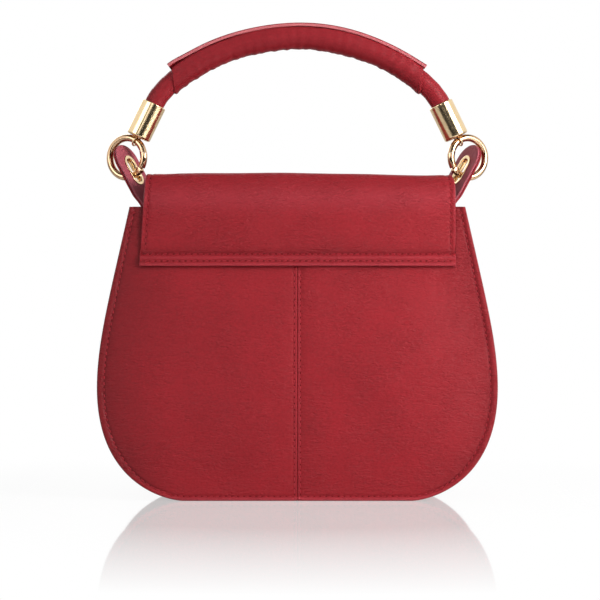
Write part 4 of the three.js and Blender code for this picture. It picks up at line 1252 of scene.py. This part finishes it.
def cover_radius(s, turn):
    """The rolled leather: a butted seam and faint folds."""
    gap = np.abs((turn - SEAM_TURN + np.pi) % (2 * np.pi) - np.pi)
    fold = 0.07 * np.sin(s / 1.3 + 2 * np.cos(turn))
    return COVER_RADIUS - 0.45 * bump(gap, 0, 0.07) + 0.18 * bump(gap, 0.17, 0.1) + fold


def cord_radius(s, turn):
    """Three strands, twisted."""
    return CORD_RADIUS + 0.3 * np.abs(np.cos(1.5 * turn + s / 3.0))


def wrap_radius(s, turn, from_end):
    """The grip's sleeve: creased on the inner side, with rounded ends and a shoulder below the strip."""
    inner = np.clip(-np.cos(turn), 0, 1)
    bumps = 0.15 * np.sin(s * 0.62 + 1.5 * np.sin(s * 0.17)) + 0.08 * np.sin(s * 1.5 + 0.6)
    creases = 0.1 * np.sin(s * 0.9 + 3.0 * np.sin(turn) + np.sin(s * 0.21))
    wavy = 0.16 * np.sin(s * 0.13 + 1.0)
    shoulder = 0.8 * bump(np.cos(turn), 0.72, 0.16)
    return WRAP_RADIUS + bumps * inner**2 + creases + wavy + shoulder - rounding(from_end, 0.8)


def grip_wrap():
    """The sleeve, whose ends slant back towards the outer side."""
    turn = turns(56)
    half_span = WRAP_HALF_SPAN - WRAP_SLANT * np.cos(turn)
    across = HANDLE_LINE[:, 0]
    outs, run = outer_sides(HANDLE_LINE), run_along(HANDLE_LINE)
    loops = []
    for share in np.linspace(-1, 1, 280):
        x = share * half_span
        radius = wrap_radius(np.interp(x, across, run), turn, 1.25 * half_span * (1 - abs(share)))
        loops.append(round_loop(read_at(x, across, HANDLE_LINE), read_at(x, across, outs), radius, turn))
    obj = make_solid("grip_leather", sweep(loops), SUPPLE, "handle", replaces=["grip_wrap"])
    # Painted shade on the sleeve's inner side, which faces down along the grip.
    set_tone(obj, np.tile(-0.4 * smooth(-np.cos(turn), -0.5, 0.7), len(loops)))


def handle():
    cover = tube(HANDLE_LINE, cover_radius, 48)
    set_tone(make_solid("handle_leather", cover, SUPPLE, "handle", replaces=["handle_cover"]))
    grip_wrap()
    cord = tube(HANDLE_LINE[::3], cord_radius, 24)
    make_solid("handle_cord", cord, CORD_CLOTH, "handle", replaces=["handle_core"], slot="cord")


def grip_strip():
    """Flat strip along the outer side of the grip, its cut edges pale, with a twist at its left end."""
    line = HANDLE_LINE[np.abs(HANDLE_LINE[:, 0]) <= STRIP_HALF_SPAN]
    run = run_along(line)
    middle, low, high = STRIP_WIDTH / 2 - STRIP_ROUND, STRIP_ROUND, STRIP - STRIP_ROUND
    corners = []
    for quarter, (x, y) in enumerate(((middle, high), (-middle, high), (-middle, low), (middle, low))):
        for turn in (quarter * np.pi / 2 + t for t in np.linspace(0, np.pi / 2, 4)):
            corners.append((x + STRIP_ROUND * math.cos(turn), y + STRIP_ROUND * math.sin(turn)))
    loops = []
    for at, out, s in zip(line, outer_sides(line), run):
        lift = WRAP_RADIUS - 0.2 + 0.6 * math.exp((s - run[-1]) / 5) + 0.2 * math.sin(s / 13)
        twist = -0.35 * bump(s, 0, 9)
        across = DEPTHWAYS * math.cos(twist) + out * math.sin(twist)
        upward = out * math.cos(twist) - DEPTHWAYS * math.sin(twist)
        loops.append([at + out * lift + across * a + upward * (b - 0.02 * a * a) for a, b in corners])
    obj = make_solid("grip_strip_leather", sweep(loops), [SUPPLE, RAW], "handle", replaces=["grip_strip"],
                     slot="raw_edge", sharp=50)
    place = np.arange(len(obj.data.polygons))
    sides = np.isin(place % len(corners), (7, 8, 9, 10, 12, 13, 14, 15))  # below the painted upper corners
    ends = place >= len(place) - 2
    set_face_materials(obj, sides | ends)
    set_tone(obj)


def ferrules():
    """The gold ends of the handle, and the eyes that hold the rings."""
    bore, inner_floor, top = COVER_RADIUS + FIT, FERRULE_FLOOR + 2, FERRULE_LENGTH
    rim = round_rim(FERRULE_RADIUS, top, FERRULE_ROUND, 5)
    profile = [(FERRULE_RECESS, FERRULE_FLOOR), (FERRULE_RECESS, 0.3), (FERRULE_RECESS + 0.15, 0.12)]
    profile += [(FERRULE_RADIUS - back, rise) for back, rise in FERRULE_CHAMFER]
    profile += [(FERRULE_RADIUS, 1.5), (FERRULE_RADIUS, top - 1.0)]  # keep the wall's shading straight
    profile += [*rim, (bore + 0.15, top), (bore, top - 0.2), (bore, inner_floor)]
    profile += [(EYE_WIRE + 1.0, inner_floor), (EYE_WIRE + 1.0, FERRULE_FLOOR)]  # hole for the eye's stem
    loop = lathe(circle(EYE_WIRE, 14) + [EYE_RADIUS, 0], EYE_CENTRE, ring_way(RING_EYE + math.pi / 2), 48)
    stem = lathe(barrel(STEM, STEM_HALF, 0.3), EYE_CENTRE + HANDLE_UP * (EYE_RADIUS + 2.4), HANDLE_UP, 24)
    points, faces = joined([loop, stem])
    for side, sign in SIDES.items():
        ferrule = lathe(profile, mirror_x(RIM, sign), mirror_x(HANDLE_UP, sign), 96)
        make_metal(f"ferrule_metal_{side}", ferrule, GOLD, "handle", f"ferrule_{side}")
        make_metal(f"eye_metal_{side}", (mirror_x(points, sign), faces), GOLD, "handle", f"eye_{side}")


def dressed_solids():
    """Hidden pieces that show their CAD solids."""
    looks = {"snap_socket": GOLD, "snap_stud": GOLD, "snap_washer": STEEL, "base_board": BOARD}
    for node, material in looks.items():
        mesh = frame["nodes"][node].data
        mesh.materials.clear()
        mesh.materials.append(material)


# Stage, in metres

LIGHTS = {  # place, width and power of each soft light
    "key": ((0.6, -0.5, 0.42), 0.42, 6.3),
    "fill": ((-0.9, -0.9, 0.5), 0.6, 0.7),
    "card": ((-0.75, -0.72, 0.5), 0.6, 2.4),  # for the gloss of the metal
    "front": ((-0.2, -1.5, 0.62), 0.5, 1.7),
    "top": ((0.1, -0.5, 1.3), 0.8, 1.5),
    "behind": ((-0.5, 1.3, 0.8), 0.8, 5.0),
}
LIGHT_TARGET = Vector((0, 0, 0.12))
CAMERA_PLACE = (0.0016, -1.345, 0.1206)
CAMERA_LENS = 130.0
FLOOR_REACH = 3.0
FLOOR_START = -0.75
WALL_REACH = 4.0
WALL_PLACE = 2.0
WALL_FOOT = -0.5


def rectangle(half, low, high):
    return [(-half, low), (half, low), (half, high), (-half, high)]


def stage_sheet(name, corners, material):
    mesh = bpy.data.meshes.new(name)
    mesh.from_pydata(corners, [], [(0, 1, 2, 3)])
    mesh.materials.append(material)
    link_object(name, mesh)


def stage_material(name):
    """Nodes of a material with no shader yet, and its output's socket."""
    n = material_nodes(name)
    n.tree.nodes.remove(n.tree.nodes["Principled BSDF"])
    return n, n.tree.nodes["Material Output"].inputs["Surface"]


def floor():
    """Pale floor that mirrors the bag faintly near it."""
    n, output = stage_material("pale_floor")
    to_camera = n.add("LightPath").outputs["Is Camera Ray"]
    place = n.add("TexCoord").outputs["Object"]
    far = n.add("VectorMath", operation="LENGTH", Vector=place).outputs["Value"]
    across = n.math("ABSOLUTE", n.add("SeparateXYZ", Vector=place).outputs["X"])
    fade = n.math("MULTIPLY", n.spread(far, 0.46, 0.2, 0.0, 0.45), n.spread(across, 0.19, 0.13))
    fade = n.math("MULTIPLY", fade, n.spread(n.noise(0.02, 2, 0.5), 0.0, 1.0, 0.97, 1.0))
    diffuse = n.add("BsdfDiffuse", Color=(0.92, 0.92, 0.92, 1)).outputs[0]
    white = n.add("Emission", Color=WHITE, Strength=1.0).outputs[0]
    mirror = n.add("BsdfGlossy", Color=WHITE, Roughness=0.04).outputs[0]
    seen = n.math("MULTIPLY", to_camera, n.spread(far, 0.08, 0.35, 0.9, 1.0))
    plain = n.fill("MixShader", seen, diffuse, white)
    n.put(output, n.fill("MixShader", n.math("MULTIPLY", fade, to_camera), plain, mirror))
    corners = rectangle(FLOOR_REACH, FLOOR_START, FLOOR_REACH)
    stage_sheet("floor", [(x, y, 0) for x, y in corners], n.owner)


def backdrop():
    """White wall behind the bag, seen directly and in the floor but giving no light."""
    n, output = stage_material("white_wall")
    path = n.add("LightPath").outputs
    white = n.add("Emission", Color=WHITE, Strength=1.0).outputs[0]
    seen = n.math("MAXIMUM", path["Is Camera Ray"], path["Is Glossy Ray"])
    n.put(output, n.fill("MixShader", seen, n.add("BsdfTransparent").outputs[0], white))
    corners = rectangle(WALL_REACH, WALL_FOOT, WALL_REACH)
    stage_sheet("backdrop", [(x, WALL_PLACE, z) for x, z in corners], n.owner)


def world_light():
    """White to the camera, and a soft sky over dark ground to the rest, with cards at the sides for gloss."""
    world = bpy.data.worlds.new("studio")
    bpy.context.scene.world = world
    n = Nodes(world)
    n.tree.nodes.clear()
    path = n.add("LightPath").outputs
    way = n.add("SeparateXYZ", Vector=n.add("TexCoord").outputs["Generated"]).outputs
    ramp = n.add("ValToRGB", Fac=n.spread(way["Z"], -1.0, 1.0))
    ground, sky = ramp.color_ramp.elements
    ground.position, ground.color = 0.42, (0.06, 0.055, 0.05, 1)
    sky.position, sky.color = 0.56, WHITE
    behind_camera = n.spread(way["Y"], -0.95, -0.35, 0.5, 1.0)
    tint = n.add("VectorMath", operation="SCALE", Vector=ramp.outputs["Color"], Scale=behind_camera)
    cards = n.spread(n.math("ABSOLUTE", way["X"]), 0.58, 0.7, 0.1, 1.0)
    strength = n.spread(path["Is Glossy Ray"], 0.0, 1.0, 0.35, cards)
    soft = n.add("Background", Color=tint.outputs[0], Strength=strength).outputs[0]
    white = n.add("Background", Color=WHITE, Strength=1.0).outputs[0]
    n.put(n.add("OutputWorld").inputs["Surface"], n.fill("MixShader", path["Is Camera Ray"], soft, white))


def lights():
    for name, (place, size, power) in LIGHTS.items():
        light = bpy.data.lights.new(name, "AREA")
        light.size = size
        light.energy = power
        obj = link_object(name, light)
        obj.location = place
        obj.rotation_euler = (LIGHT_TARGET - obj.location).to_track_quat("-Z", "Y").to_euler()
        obj.visible_diffuse = name != "card"


def camera():
    data = bpy.data.cameras.new("camera")
    data.sensor_width = 36.0
    data.lens = CAMERA_LENS
    data.clip_end = 20
    obj = link_object("camera", data)
    obj.location = CAMERA_PLACE
    obj.rotation_euler = (math.radians(90), 0, 0)
    bpy.context.scene.camera = obj
    bpy.context.scene.view_settings.view_transform = "Standard"


for build in (back_panels, front_panel, gusset, lining, seam_tape, flap_back, flap_front, tabs, rings, handle,
              grip_strip, ferrules, dressed_solids, floor, backdrop, world_light, lights, camera):
    build()
